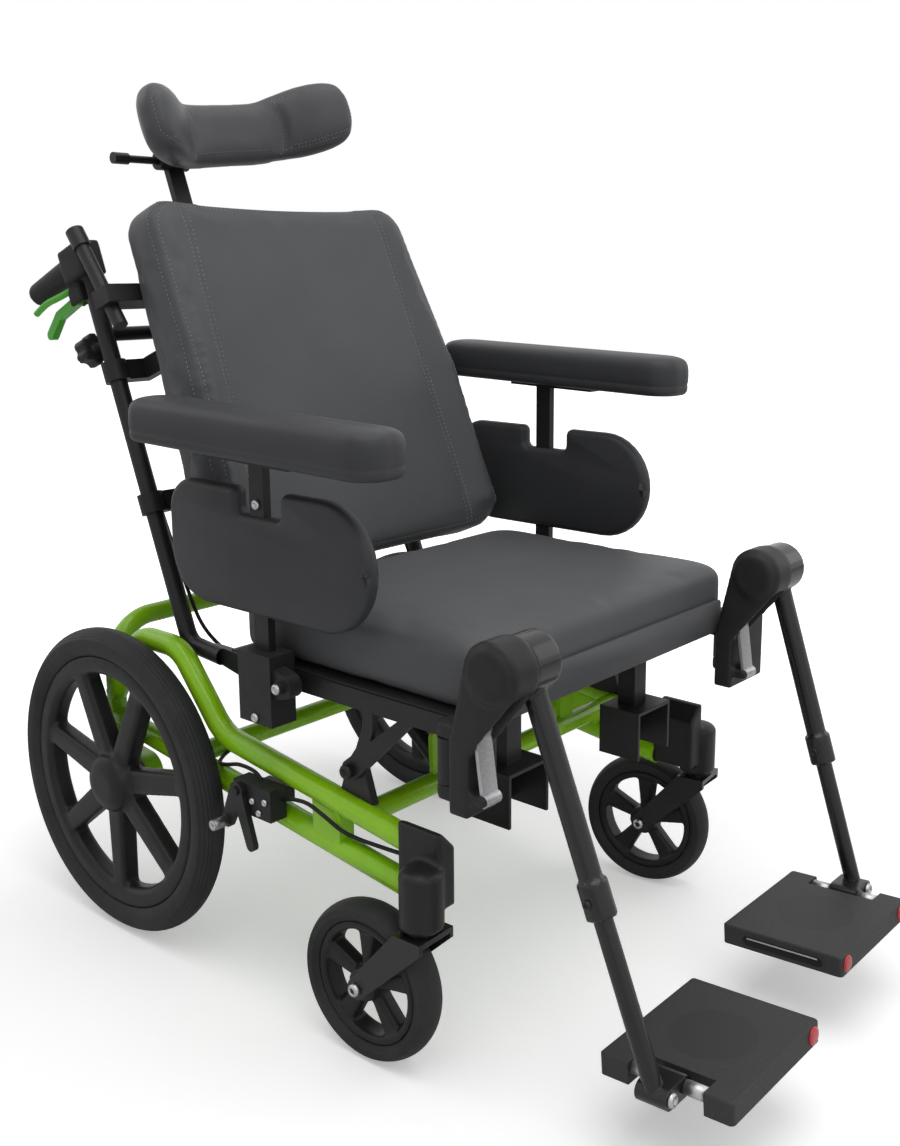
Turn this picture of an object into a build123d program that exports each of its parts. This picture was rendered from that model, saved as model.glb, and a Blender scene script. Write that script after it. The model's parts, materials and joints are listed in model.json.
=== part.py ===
from build123d import *
import os
from math import cos, radians, sin

os.makedirs("parts", exist_ok=True)

# Frame: the chair faces -Y, the sitter's left is +X, +Z is up.
# The origin is on the floor under the middle of the whole length. Sizes are in millimetres.
SIDES = {"right": -1, "left": 1}
AXLE_Y = 319.14


def ahead(distance):
    """Y of a station that lies this far ahead of the rear axle."""
    return AXLE_Y - distance


# Clearances
RUN_GAP = 0.3
SEAT_GAP = 0.15
BORE_GAP = 0.08

# Rear wheels
REAR_R = 200.0
REAR_TRACK = 565.0
RAIL_INSET = 37.5
RAIL_X = REAR_TRACK / 2 - RAIL_INSET
TYRE_WIDTH = 40.0
TYRE_SHOULDER_R = 188.0
TYRE_SEAT_R = 166.0
TREAD_GROOVE_X = 7.0
TREAD_GROOVE_WIDTH = 3.0
TREAD_GROOVE_DEPTH = 3.5
RIM_INNER_R = 141.0
RIM_WIDTH = 30.0
HUB_R = 37.0
HUB_WIDTH = 40.0
HUB_CAP_HEIGHT = 9.0
SPOKE_COUNT = 7
SPOKE_DEPTH = 25.0
SPOKE_ROOT_WIDTH = 33.0
SPOKE_TIP_WIDTH = 28.0
SPOKE_CORNER = 5.0
AXLE_R = 6.0

# Casters
STEM_X = RAIL_X + 28.5
STEM_Y = ahead(525.0)
CASTER_R = 90.0
CASTER_WIDTH = 36.0
CASTER_TRAIL = 72.0
CASTER_SWIVEL = {"right": 2.0, "left": 8.0}
CASTER_SEAT_R = 70.0
CASTER_RIM_INNER_R = 60.0
CASTER_RIM_WIDTH = 28.0
CASTER_HUB_R = 19.0
CASTER_SPOKE_COUNT = 5
CASTER_SPOKE_ROOT = 15.0
CASTER_SPOKE_TIP = 27.0
CASTER_SPOKE_DEPTH = 20.0
CASTER_AXLE_R = 5.0
FORK_GAP = 4.0
FORK_STRAP = 5.0
FORK_TOP_Z = 172.0
FORK_BRIDGE = 6.0
FORK_FRONT = 20.0
FORK_REAR = 17.0
STEM_R = 8.0
STEM_LENGTH = 52.0
HEAD_BOTTOM_Z = 176.0
HEAD_R = 24.0
HEAD_SHOULDER_Z = 236.0
HEAD_TOP_Z = 276.0
HEAD_SLOPE = 20.0
HEAD_FRONT_Y = ahead(538.0)
HEAD_REAR_Y = ahead(479.0)
HEAD_INNER_X = RAIL_X - 10.0

# Green chassis tubes
TUBE_R = 14.0
TUBE_WALL = 2.0
UPPER_RAIL = [(ahead(486), 248.5), (ahead(172), 292), (ahead(92), 386), (ahead(10), 386), (ahead(-54), 296)]
UPPER_RAIL_BENDS = [60.0, 50.0, 45.0]
LOWER_RAIL = [(ahead(486), 196.0), (ahead(-54), 264.0)]
SPACER_Y = ahead(362.0)
SPACER_LENGTH = 44.0
SPACER_WIDTH = 22.0
HOOP_R = 12.5
HOOP_Y = ahead(-54.0)
HOOP_TOP_Z = 392.0
HOOP_FOOT_Z = 226.0
HOOP_BEND = 58.0
CROSS_R = 12.5
FRONT_CROSS_Y = ahead(412.0)
FRONT_CROSS_Z = 258.0
MID_CROSS_Y = ahead(138.0)
MID_CROSS_Z = 264.0
PADDLE_X = 122.0
PADDLE_TOP_Z = 312.0
PADDLE_WIDTH = 30.0
PADDLE_THICK = 6.0
BRACKET_WIDTH = 24.0
BRACKET_R = 24.0

# Brakes
BRAKE_Y = ahead(247.0)
BRAKE_Z = 255.0
BRAKE_ARM = 46.0
BRAKE_ARM_ANGLE = 25.0
BRAKE_PIN_R = 6.5
BRAKE_PIN_END_X = REAR_TRACK / 2 + 28.5
BRAKE_BODY_OUT_X = RAIL_X + 38.0
BRAKE_LEVER_THICK = 7.0
BRAKE_PIVOT_R = 5.0
BRAKE_HANDLE_LENGTH = 62.0

# Tilt pivot between the chassis and the seat
TILT_Y = ahead(398.0)
TILT_Z = 308.0
TILT_EAR_R = 13.0
TILT_PIN_R = 6.0
TILT_EAR_X = (RAIL_X - 12.0, RAIL_X - 2.0)
LINK_X = (RAIL_X - 1.0, RAIL_X + 7.0)
LINK_TOP_Y = ahead(428.0)
STRUT_TOP_Y = ahead(492.0)
LINK_WIDTH = 16.0
LINK_BOW = 11.0
STRUT_WIDTH = 12.0

# Seat
SEAT_FRONT_Y = ahead(584.0)
SEAT_REAR_Y = ahead(199.0)
SEAT_RAIL_X = (RAIL_X - 7.0, RAIL_X + 7.0)
SEAT_RAIL_REAR_Y = ahead(235.0)
SEAT_RAIL_Z = (382.0, 404.0)
INNER_BAR_X = (RAIL_X - 55.0, RAIL_X - 39.0)
INNER_BAR_REAR_Y = ahead(192.0)
JOG_Y = (ahead(330.0), ahead(298.0))
SEAT_PLATE = 3.0
CUSHION_LIFT = 0.5
CUSHION_WIDTH = 2 * RAIL_X + 2.0
CUSHION_HEIGHT = 72.0
CUSHION_CROWN = 7.0
CUSHION_CORNER = 26.0
CUSHION_DRAW = 5.0
CUSHION_LIP = 5.0
CUSHION_LIP_DROP = 11.0
FRONT_BAR_Y = ahead(515.0)
MID_BAR_Y = ahead(392.0)
REAR_BAR_Y = ahead(226.0)
BAR_WIDTH = 20.0
FRONT_POST_X = 125.0
FRONT_POST = 25.0
FRONT_POST_BOTTOM_Z = 312.0
CHANNEL_WIDTH = 70.0
CHANNEL_DEPTH = 58.0
CHANNEL_HEIGHT = 62.0
CHANNEL_WALL = 4.0

# Gas springs
SPRING_R = 11.0
SPRING_ROD_R = 4.5
SPRING_EYE_R = 9.0
SPRING_PIN_R = 4.0
SPRING_EYE_WIDTH = 10.0
OPEN_PIVOT_GAP = 2.0
TILT_SPRING_X = -70.0
TILT_SPRING_LOW = (ahead(384.0), 234.0)
TILT_SPRING_HIGH = (ahead(226.0), 370.0)
TILT_CYLINDER = 118.0
RECLINE_SPRING_X = 70.0
RECLINE_SPRING_LOW = (ahead(392.0), 366.0)
RECLINE_LEVER = 30.0
RECLINE_CYLINDER = 128.0
LUG_THICK = 6.0

# Armrests
ARM_X = RAIL_X + 23.0
ARM_Y = ahead(283.0)
ARM_BACK = {"right": 0.0, "left": 20.0}
ARM_LIFT = {"right": 0.0, "left": 38.0}
PANEL_LIFT = {"right": 0.0, "left": 15.0}
POST_THICK = 10.0
POST_WIDTH = 24.0
POST_FOOT_Z = 347.0
SOCKET_X = (SEAT_RAIL_X[1], RAIL_X + 43.0)
SOCKET_Y = (ahead(313.0), ahead(258.0))
SOCKET_Z = (346.0, 428.0)
PAD_X = RAIL_X + 35.0
PAD_Y = ahead(297.0)
PAD_LENGTH = 406.0
PAD_WIDTH = 76.0
PAD_BOTTOM_Z = 648.0
PAD_HEIGHT = 52.0
PAD_CORNER = 30.0
PAD_TILT = 1.4
PAD_PLATE = 4.0
PAD_PLATE_WIDTH = 40.0
PAD_PLATE_LENGTH = 140.0
PANEL_X = (ARM_X - 11.0, ARM_X + 11.0)
PANEL_FRONT_Y = ahead(460.0)
PANEL_REAR_Y = ahead(128.0)
PANEL_Z = (467.0, 611.0)
PANEL_REAR_TOP_R = 40.0
PANEL_REAR_LOW_R = 62.0
PANEL_EDGE = 6.0
NOTCH_Y = (ahead(325.0), ahead(252.0))
NOTCH_DEPTH = 30.0

# Back, drawn along its own lean: u runs up the back, v runs rearward from the recline pivot
RECLINE_Y = ahead(175.0)
RECLINE_Z = 372.0
BACK_LEAN = 21.0
BACK_TUBE_X = INNER_BAR_X[1] + 10.0
BACK_TUBE_R = 11.0
BACK_TUBE_WALL = 2.0
BACK_TUBE_V = 92.0
BACK_TUBE_FOOT = (18.0, 34.0)
BACK_TUBE_BEND = (46.0, 92.0)
BACK_TUBE_BEND_R = 26.0
SHAFT_R = 6.0
SLEEVE_R = 10.0
EYE_R = 14.0
EYE_THICK = 10.0
EAR_THICK = 8.0
SHELL_V = (1.0, 8.0)
SHELL_U = (112.0, 556.0)
SHELL_HALF_WIDTH = (RAIL_X - 45.0, RAIL_X - 73.0)
SHELL_CORNER = 40.0
CLAMP_U = (230.0, 405.0)
CLAMP_HEIGHT = 26.0
CLAMP_WALL = 5.0
CLAMP_X = RAIL_X - 75.0
CLAMP_WIDTH = 14.0
BACK_CUSHION_U = (94.0, 584.0)
BACK_CUSHION_V = (-63.0, 0.5)
BACK_HALF_WIDTH = (RAIL_X - 3.0, RAIL_X - 27.0)
BACK_CORNER = 38.0
BACK_DRAW = 7.0
BACK_DIP = 9.0
BOLSTER = [
    (126.0, RAIL_X - 59.0, RAIL_X - 20.0, -84.0),
    (340.0, RAIL_X - 73.0, RAIL_X - 26.0, -86.0),
    (548.0, RAIL_X - 80.0, RAIL_X - 46.0, -67.0),
]
BOLSTER_ROUND = 8.0
CROSS_BAR_U = 455.0
CROSS_BAR_R = 9.0
CANE_X = RAIL_X + 1.0
CANE_LOW = (440.0, 12.0)
CANE_HIGH = (578.0, 53.5)
CANE_R = 9.0
CANE_CAP_R = 11.5
CANE_CAP = 26.0
HOOK_U = (468.0, 490.0)
HOOK_V = 34.0

# Push handles
GRIP_U = 556.0
ROD_FOOT_U = GRIP_U - 206.0
BLOCK_U = (GRIP_U - 24.0, GRIP_U + 20.0)
BLOCK_V = (74.0, 128.0)
BACK_TUBE_TOP = GRIP_U - 53.0
BLOCK_WIDTH = 36.0
GRIP_R = 16.0
GRIP_LENGTH = 103.0
GRIP_DROP = 23.0
TRIGGER_PIVOT = (GRIP_U - 42.0, BLOCK_V[1] + 4.0)
TRIGGER_PIVOT_R = 3.0
TRIGGER_HUB_R = 7.0
TRIGGER_THICK = 10.0
TRIGGER_ELBOW = (42.0, -20.0)
TRIGGER_TIP = (64.0, -46.0)
KNOB_U = GRIP_U - 110.0
KNOB_R = 21.0
KNOB_THICK = 22.0
KNOB_STEM = 16.0
KNOB_STEM_R = 5.0
KNOB_LOBES = 6

# Headrest
HEAD_X = -62.0
HEAD_POST_V = 62.0
HEAD_POST_WIDTH = 25.0
HEAD_POST_THICK = 10.0
KNUCKLE_U = 684.0
HEAD_POST_U = (380.0, KNUCKLE_U - 6.0)
KNUCKLE_R = 12.0
KNUCKLE_WIDTH = 34.0
CLAMP_LEVER = 70.0
CLAMP_LEVER_END = 22.0
HOLDER_WALL = 8.0
HEADREST_AT = (-16.0, ahead(-80.0), 1022.0)
HEADREST_ROLL = -6.0
HEADREST_PITCH = -14.0
HEADREST_SECTIONS = [
    (0.0, 0.0, 48.0, 84.0, 0.0),
    (58.0, 3.0, 48.0, 85.0, 0.0),
    (82.0, 15.0, 58.0, 89.0, 2.0),
    (118.0, 44.0, 72.0, 95.0, 4.0),
    (150.0, 67.0, 62.0, 86.0, 5.0),
    (166.0, 75.0, 32.0, 52.0, 5.0),
]

# Legrests
HANGER_POST_X = RAIL_X + 23.0
HANGER_POST_Y = ahead(562.0)
HANGER_PIN_R = 6.0
RECEIVER_R = 13.0
RECEIVER_Z = (346.0, 394.0)
HANGER_LUG = 16.0
HANGER_LUG_R = 13.5
COLUMN_Y = (ahead(612.0), ahead(588.0))
ARM_WIDTH = 36.0
ARM_CENTRE_X = {"right": -RAIL_X - 38.0, "left": RAIL_X - 28.0}
HUB_Y = ahead(640.0)
HUB_Z = 480.0
ARM_HUB_R = 33.0
RING_R = 30.0
RING_WIDTH = 38.0
RING_CAP = 5.0
HUB_PIN_R = 9.0
LEG_LEAN = {"right": 22.0, "left": 18.0}
LEG_LENGTH = 408.0
LEG_DRAWN = {"right": 12.0, "left": 0.0}
LEG_TUBE_R = 12.0
LEG_TUBE_WALL = 2.0
LEG_UPPER_END = 222.0
LEG_COLLAR_R = 15.5
LEG_COLLAR = 36.0
LEG_INNER_START = 95.0
LEG_INNER_WALL = 1.8
FOOT_OFFSET = 26.0
FOOT_SLEEVE_R = 10.5
FOOT_SLEEVE = 34.0
FOOT_PIN_R = 5.5
PLATE_TILT = 4.0
PLATE_RISE = 8.0
PLATE_THICK = 23.0
PLATE_WIDTH = 175.0
PLATE_EDGE = 10.0
PLATE_AHEAD = 73.0
PLATE_BEHIND = 76.0
PLATE_CORNER = 5.0
PLATE_BEVEL = 1.5
RECESS_LENGTH = 84.0
RECESS_DEPTH = 14.0
LATCH_WIDTH = 22.0
LATCH_THICK = 4.0
LATCH_PIVOT = (ahead(626.0), 350.0)
LATCH_LINE = [(0.0, 0.0), (9.0, 60.0), (2.0, 84.0), (-24.0, 104.0)]
LATCH_SLOT = [(6.0, -10.0), (15.0, 60.0), (8.0, 88.0), (-20.0, 110.0), (-80.0, 110.0), (-80.0, -10.0)]
LATCH_PIN_R = 3.5
LATCH_HUB_R = 6.5


def back_at(x, u, v):
    """Point of the leaning back: u up along it, v rearward from it."""
    lean = radians(BACK_LEAN)
    y = RECLINE_Y + u * sin(lean) + v * cos(lean)
    z = RECLINE_Z + u * cos(lean) - v * sin(lean)
    return (x, y, z)


def back_plane(u, v=0.0, x=0.0):
    """Plane across the back at height u: its x is X, its y is v, its normal is u."""
    lean = radians(BACK_LEAN)
    return Plane(origin=back_at(x, u, v), x_dir=(1, 0, 0), z_dir=(0, sin(lean), cos(lean)))


def back_face(v, u=0.0, x=0.0):
    """Plane along the back at depth v: its x is X, its y is u, its normal faces forward."""
    lean = radians(BACK_LEAN)
    return Plane(origin=back_at(x, u, v), x_dir=(1, 0, 0), z_dir=(0, -cos(lean), sin(lean)))


def side_plane(x):
    """Plane across X: its x is Y, its y is Z, its normal is +X."""
    return Plane.YZ.offset(x)


def block(xs, ys, zs, mode=Mode.ADD):
    """Adds a box between pairs of limits to the part being built."""
    middle = [(pair[0] + pair[1]) / 2 for pair in (xs, ys, zs)]
    size = [abs(pair[1] - pair[0]) for pair in (xs, ys, zs)]
    with Locations(tuple(middle)):
        Box(*size, mode=mode)


def bar(start, end, outer, wall=0.0, mode=Mode.ADD):
    """Adds a straight round bar, or a tube with this wall, to the part being built."""
    run = Vector(end) - Vector(start)
    with BuildSketch(Plane(origin=start, z_dir=run)) as section:
        Circle(outer)
        if wall:
            Circle(outer - wall, mode=Mode.SUBTRACT)
    extrude(section.sketch, amount=run.length, mode=mode)


def pipe(points, bends, outer, wall):
    """Adds a bent tube along the points to the part being built."""
    with BuildLine() as path:
        FilletPolyline(*points, radius=bends)
    with BuildSketch(Plane(origin=path.line @ 0, z_dir=path.line % 0)) as section:
        Circle(outer)
        Circle(outer - wall, mode=Mode.SUBTRACT)
    sweep(section.sketch, path=path.line)


def web(xs, first, first_r, second, second_r, hole_r=0.0, mode=Mode.ADD):
    """Adds a plate between two X limits, the hull of two circles given as (y, z)."""
    with BuildSketch(side_plane(xs[0])) as outline:
        with Locations(first):
            Circle(first_r)
        with Locations(second):
            Circle(second_r)
        make_hull()
        if hole_r:
            with Locations(first):
                Circle(hole_r, mode=Mode.SUBTRACT)
    extrude(outline.sketch, amount=xs[1] - xs[0], mode=mode)


def along(start, end, distance):
    """Point this far from start towards end, both given as (y, z)."""
    run = Vector(end[0] - start[0], end[1] - start[1])
    step = run.normalized() * distance
    return (start[0] + step.X, start[1] + step.Y)


def save(piece, label):
    piece.part.label = label
    export_step(piece.part, f"parts/{label}.step")


# Chassis: upper rails run from the caster heads, rise over the axle and drop to the hoop
with BuildPart() as upper_rails:
    for side in SIDES.values():
        pipe([(side * RAIL_X, y, z) for y, z in UPPER_RAIL], UPPER_RAIL_BENDS, TUBE_R, TUBE_WALL)
        with Locations((side * RAIL_X, HOOP_Y, HOOP_TOP_Z / 2)):
            Cylinder(HOOP_R + SEAT_GAP, HOOP_TOP_Z * 2, mode=Mode.SUBTRACT)
    split(bisect_by=Plane(origin=(0, HEAD_REAR_Y, 0), z_dir=(0, 1, 0)), keep=Keep.TOP)
save(upper_rails, "upper_rails")

# Chassis: lower rails with the spacer boxes welded on them
with BuildPart() as lower_rails:
    for side in SIDES.values():
        x = side * RAIL_X
        ends = [(x, y, z) for y, z in LOWER_RAIL]
        spacer_y = (SPACER_Y - SPACER_LENGTH / 2, SPACER_Y + SPACER_LENGTH / 2)
        spacer_x = (x - SPACER_WIDTH / 2, x + SPACER_WIDTH / 2)
        block(spacer_x, spacer_y, (FRONT_CROSS_Z - 3 * TUBE_R, FRONT_CROSS_Z + 4))
        bar(ends[0], ends[1], TUBE_R)
        bar(ends[0], ends[1], TUBE_R - TUBE_WALL, mode=Mode.SUBTRACT)
        upper = [(x, y, z) for y, z in UPPER_RAIL[:2]]
        bar(upper[0], upper[1], TUBE_R + SEAT_GAP, mode=Mode.SUBTRACT)
        with Locations((x, HOOP_Y, HOOP_TOP_Z / 2)):
            Cylinder(HOOP_R + SEAT_GAP, HOOP_TOP_Z * 2, mode=Mode.SUBTRACT)
    split(bisect_by=Plane(origin=(0, HEAD_REAR_Y, 0), z_dir=(0, 1, 0)), keep=Keep.TOP)
save(lower_rails, "lower_rails")

# Chassis: the rear hoop stands on the axle brackets
with BuildPart() as rear_hoop:
    hoop_line = [(-RAIL_X, HOOP_FOOT_Z), (-RAIL_X, HOOP_TOP_Z), (RAIL_X, HOOP_TOP_Z), (RAIL_X, HOOP_FOOT_Z)]
    pipe([(x, HOOP_Y, z) for x, z in hoop_line], HOOP_BEND, HOOP_R, TUBE_WALL)
save(rear_hoop, "rear_hoop")

# Chassis: cross tubes between the rails, the front one with two flattened paddles
with BuildPart() as cross_tubes:
    front_ends = [(side * RAIL_X, FRONT_CROSS_Y, FRONT_CROSS_Z) for side in SIDES.values()]
    mid_ends = [(side * RAIL_X, MID_CROSS_Y, MID_CROSS_Z) for side in SIDES.values()]
    bar(front_ends[0], front_ends[1], CROSS_R)
    bar(mid_ends[0], mid_ends[1], CROSS_R)
    for side in SIDES.values():
        x = side * PADDLE_X
        with BuildSketch(Plane.XZ.offset(-FRONT_CROSS_Y + PADDLE_THICK / 2)) as paddle:
            with Locations((x, FRONT_CROSS_Z)):
                Circle(CROSS_R)
            with Locations((x, PADDLE_TOP_Z)):
                Circle(PADDLE_WIDTH / 2)
            make_hull()
            with Locations((x, PADDLE_TOP_Z)):
                Circle(TILT_PIN_R, mode=Mode.SUBTRACT)
        extrude(paddle.sketch, amount=-PADDLE_THICK)
    low_y, low_z = TILT_SPRING_LOW
    for offset in (-1, 1):
        inner = SPRING_EYE_WIDTH / 2 + RUN_GAP
        lug_x = sorted((TILT_SPRING_X + offset * inner, TILT_SPRING_X + offset * (inner + LUG_THICK)))
        web(lug_x, (FRONT_CROSS_Y, FRONT_CROSS_Z), CROSS_R, (low_y, low_z), SPRING_EYE_R)
    bar(front_ends[0], front_ends[1], CROSS_R - TUBE_WALL, mode=Mode.SUBTRACT)
    bar(mid_ends[0], mid_ends[1], CROSS_R - TUBE_WALL, mode=Mode.SUBTRACT)
    pin_half = SPRING_EYE_WIDTH / 2 + RUN_GAP + LUG_THICK
    pin_ends = [(TILT_SPRING_X + s * pin_half, low_y, low_z) for s in (-1, 1)]
    bar(pin_ends[0], pin_ends[1], SPRING_PIN_R)
    for side in SIDES.values():
        for line in (UPPER_RAIL, LOWER_RAIL):
            ends = [(side * RAIL_X, y, z) for y, z in line[:2]]
            bar(ends[0], ends[1], TUBE_R + SEAT_GAP, mode=Mode.SUBTRACT)
        block((side * RAIL_X, side * (RAIL_X + 2 * CROSS_R)), (ahead(600), ahead(0)), (0, HOOP_TOP_Z), Mode.SUBTRACT)
save(cross_tubes, "cross_tubes")

# Chassis: drop-out brackets that carry the rear axles
with BuildPart() as axle_brackets:
    for side in SIDES.values():
        xs = (side * RAIL_X - BRACKET_WIDTH / 2, side * RAIL_X + BRACKET_WIDTH / 2)
        web(xs, (AXLE_Y, REAR_R), BRACKET_R, (HOOP_Y, HOOP_FOOT_Z - BRACKET_R / 2), HOOP_R + 4, AXLE_R + BORE_GAP)
    block((-2 * RAIL_X, 2 * RAIL_X), (AXLE_Y, 2 * AXLE_Y), (HOOP_FOOT_Z, HOOP_TOP_Z), Mode.SUBTRACT)
save(axle_brackets, "axle_brackets")

# Rear axle pins with a spacing collar between bracket and hub
HUB_FACE_X = REAR_TRACK / 2 - HUB_WIDTH / 2
AXLE_END_X = REAR_TRACK / 2 + HUB_WIDTH / 2 - 8
with BuildPart() as rear_axles:
    for side in SIDES.values():
        inner_x = side * (RAIL_X - BRACKET_WIDTH / 2)
        collar_x = side * (RAIL_X + BRACKET_WIDTH / 2)
        bar((inner_x, AXLE_Y, REAR_R), (side * AXLE_END_X, AXLE_Y, REAR_R), AXLE_R)
        bar((collar_x, AXLE_Y, REAR_R), (side * (HUB_FACE_X - RUN_GAP), AXLE_Y, REAR_R), 2 * AXLE_R)
save(rear_axles, "rear_axles")


def axle_section(wheel):
    """Plane through a wheel's axis: its x is the axis, its y is up."""
    return Plane(wheel * Location((0, 0, 0), (90, 0, 0)))


def across(place, x):
    """Plane across the X of a placed piece: its x is that piece's Y, its y is Z."""
    return Plane(place * Location((x, 0, 0), (90, 90, 0)))


def tyre(wheel, outer, shoulder, seat, width, groove):
    """Solid tyre with a crowned tread, about the wheel's own X axis."""
    half = width / 2
    with BuildPart() as ring:
        with BuildSketch(axle_section(wheel)):
            with BuildLine():
                bead = 0.7 * half
                Polyline((-half, shoulder), (-half, (shoulder + seat) / 2), (-bead, seat), (bead, seat),
                         (half, (shoulder + seat) / 2), (half, shoulder))
                ThreePointArc((half, shoulder), (0, outer), (-half, shoulder))
            make_face()
            if groove:
                with Locations((-groove[0], outer), (groove[0], outer)):
                    Rectangle(groove[1], 2 * groove[2], mode=Mode.SUBTRACT)
        axle = axle_section(wheel)
        revolve(axis=Axis(axle.origin, axle.x_dir))
    return ring




def spoked_rim(wheel, rim, hub, spokes, bore, out):
    """Moulded wheel: rim ring, tapered spokes and a capped hub, about the wheel's own X axis."""
    seat, inner, width = rim
    hub_r, hub_width, cap = hub
    count, depth, root, tip, corner, phase = spokes
    axle = axle_section(wheel)
    half = width / 2
    bevel = (seat - inner) / 4
    face = hub_width / 2
    with BuildPart() as moulding:
        with BuildSketch(axle):
            with BuildLine():
                Polyline((-half, seat), (-half, inner + bevel), (bevel - half, inner), (half - bevel, inner),
                         (half, inner + bevel), (half, seat), close=True)
            make_face()
        revolve(axis=Axis(axle.origin, axle.x_dir))
        for i in range(count):
            turn = wheel * Location((0, 0, 0), (phase + i * 360 / count, 0, 0))
            for radius, wide in ((0.8 * hub_r, root), (inner + bevel, tip)):
                with BuildSketch(Plane(turn * Location((0, 0, radius)))):
                    RectangleRounded(depth, wide, corner)
            loft()
        with BuildSketch(axle):
            with BuildLine():
                Polyline((-out * face, 0), (-out * face, hub_r), (out * face, hub_r),
                         (out * (face + 0.6 * cap), 0.86 * hub_r), (out * (face + cap), 0.6 * hub_r),
                         (out * (face + cap), 0), close=True)
            make_face()
        revolve(axis=Axis(axle.origin, axle.x_dir))
        with BuildSketch(Plane(wheel * Location((-out * face, 0, 0), (0, 90, 0)))) as hole:
            Circle(bore[0])
        extrude(hole.sketch, amount=out * bore[1], mode=Mode.SUBTRACT)
    return moulding


# Rear wheels: one spoke of each points straight down
for label, side in SIDES.items():
    wheel = Location((side * REAR_TRACK / 2, AXLE_Y, REAR_R))
    tread = (TREAD_GROOVE_X, TREAD_GROOVE_WIDTH, TREAD_GROOVE_DEPTH)
    rear_tyre = tyre(wheel, REAR_R, TYRE_SHOULDER_R, TYRE_SEAT_R, TYRE_WIDTH, tread)
    save(rear_tyre, f"rear_tyre_{label}")
    rim = (TYRE_SEAT_R - BORE_GAP, RIM_INNER_R, RIM_WIDTH)
    hub = (HUB_R, HUB_WIDTH, HUB_CAP_HEIGHT)
    spokes = (SPOKE_COUNT, SPOKE_DEPTH, SPOKE_ROOT_WIDTH, SPOKE_TIP_WIDTH, SPOKE_CORNER, 180)
    bore = (AXLE_R + BORE_GAP, AXLE_END_X - HUB_FACE_X + 2 * RUN_GAP)
    rear_rim = spoked_rim(wheel, rim, hub, spokes, bore, side)
    save(rear_rim, f"rear_rim_{label}")

# Casters, each turned a little on its stem as it came to rest
FORK_INNER_X = CASTER_WIDTH / 2 + FORK_GAP
FORK_OUTER_X = FORK_INNER_X + FORK_STRAP
for label, side in SIDES.items():
    stem = Location((side * STEM_X, STEM_Y, 0), (0, 0, CASTER_SWIVEL[label]))
    wheel = stem * Location((0, CASTER_TRAIL, CASTER_R))
    caster_tyre = tyre(wheel, CASTER_R, CASTER_R - 6, CASTER_SEAT_R, CASTER_WIDTH, None)
    save(caster_tyre, f"caster_tyre_{label}")
    rim = (CASTER_SEAT_R - BORE_GAP, CASTER_RIM_INNER_R, CASTER_RIM_WIDTH)
    hub = (CASTER_HUB_R, CASTER_WIDTH, 2)
    spokes = (CASTER_SPOKE_COUNT, CASTER_SPOKE_DEPTH, CASTER_SPOKE_ROOT, CASTER_SPOKE_TIP, SPOKE_CORNER, 0)
    caster_rim = spoked_rim(wheel, rim, hub, spokes, (CASTER_AXLE_R + BORE_GAP, 2 * CASTER_WIDTH), side)
    save(caster_rim, f"caster_rim_{label}")
    with BuildPart() as caster_fork:
        for end in (-1, 1):
            with BuildSketch(across(stem, end * FORK_INNER_X)) as strap:
                with Locations((CASTER_TRAIL, CASTER_R)):
                    Circle(2.4 * CASTER_AXLE_R)
                with Locations(((FORK_REAR - FORK_FRONT) / 2, FORK_TOP_Z - FORK_BRIDGE)):
                    Rectangle(FORK_FRONT + FORK_REAR, 2 * FORK_BRIDGE)
                make_hull()
            extrude(strap.sketch, amount=end * FORK_STRAP)
        with BuildSketch(Plane(stem * Location((0, 0, FORK_TOP_Z - FORK_BRIDGE)))) as bridge:
            with Locations((0, (FORK_REAR - FORK_FRONT) / 2)):
                Rectangle(2 * FORK_OUTER_X, FORK_FRONT + FORK_REAR)
        extrude(bridge.sketch, amount=FORK_BRIDGE)
        with BuildSketch(Plane(stem * Location((0, 0, FORK_TOP_Z)))) as collar:
            Circle(2 * STEM_R)
        extrude(collar.sketch, amount=HEAD_BOTTOM_Z - FORK_TOP_Z - RUN_GAP)
        with BuildSketch(Plane(stem * Location((0, 0, FORK_TOP_Z)))) as shaft:
            Circle(STEM_R)
        extrude(shaft.sketch, amount=HEAD_BOTTOM_Z - FORK_TOP_Z + STEM_LENGTH)
        bolt_half = FORK_OUTER_X + FORK_STRAP
        with BuildSketch(across(wheel, -bolt_half)) as bolt:
            Circle(CASTER_AXLE_R)
        extrude(bolt.sketch, amount=2 * bolt_half)
    save(caster_fork, f"caster_fork_{label}")

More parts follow.
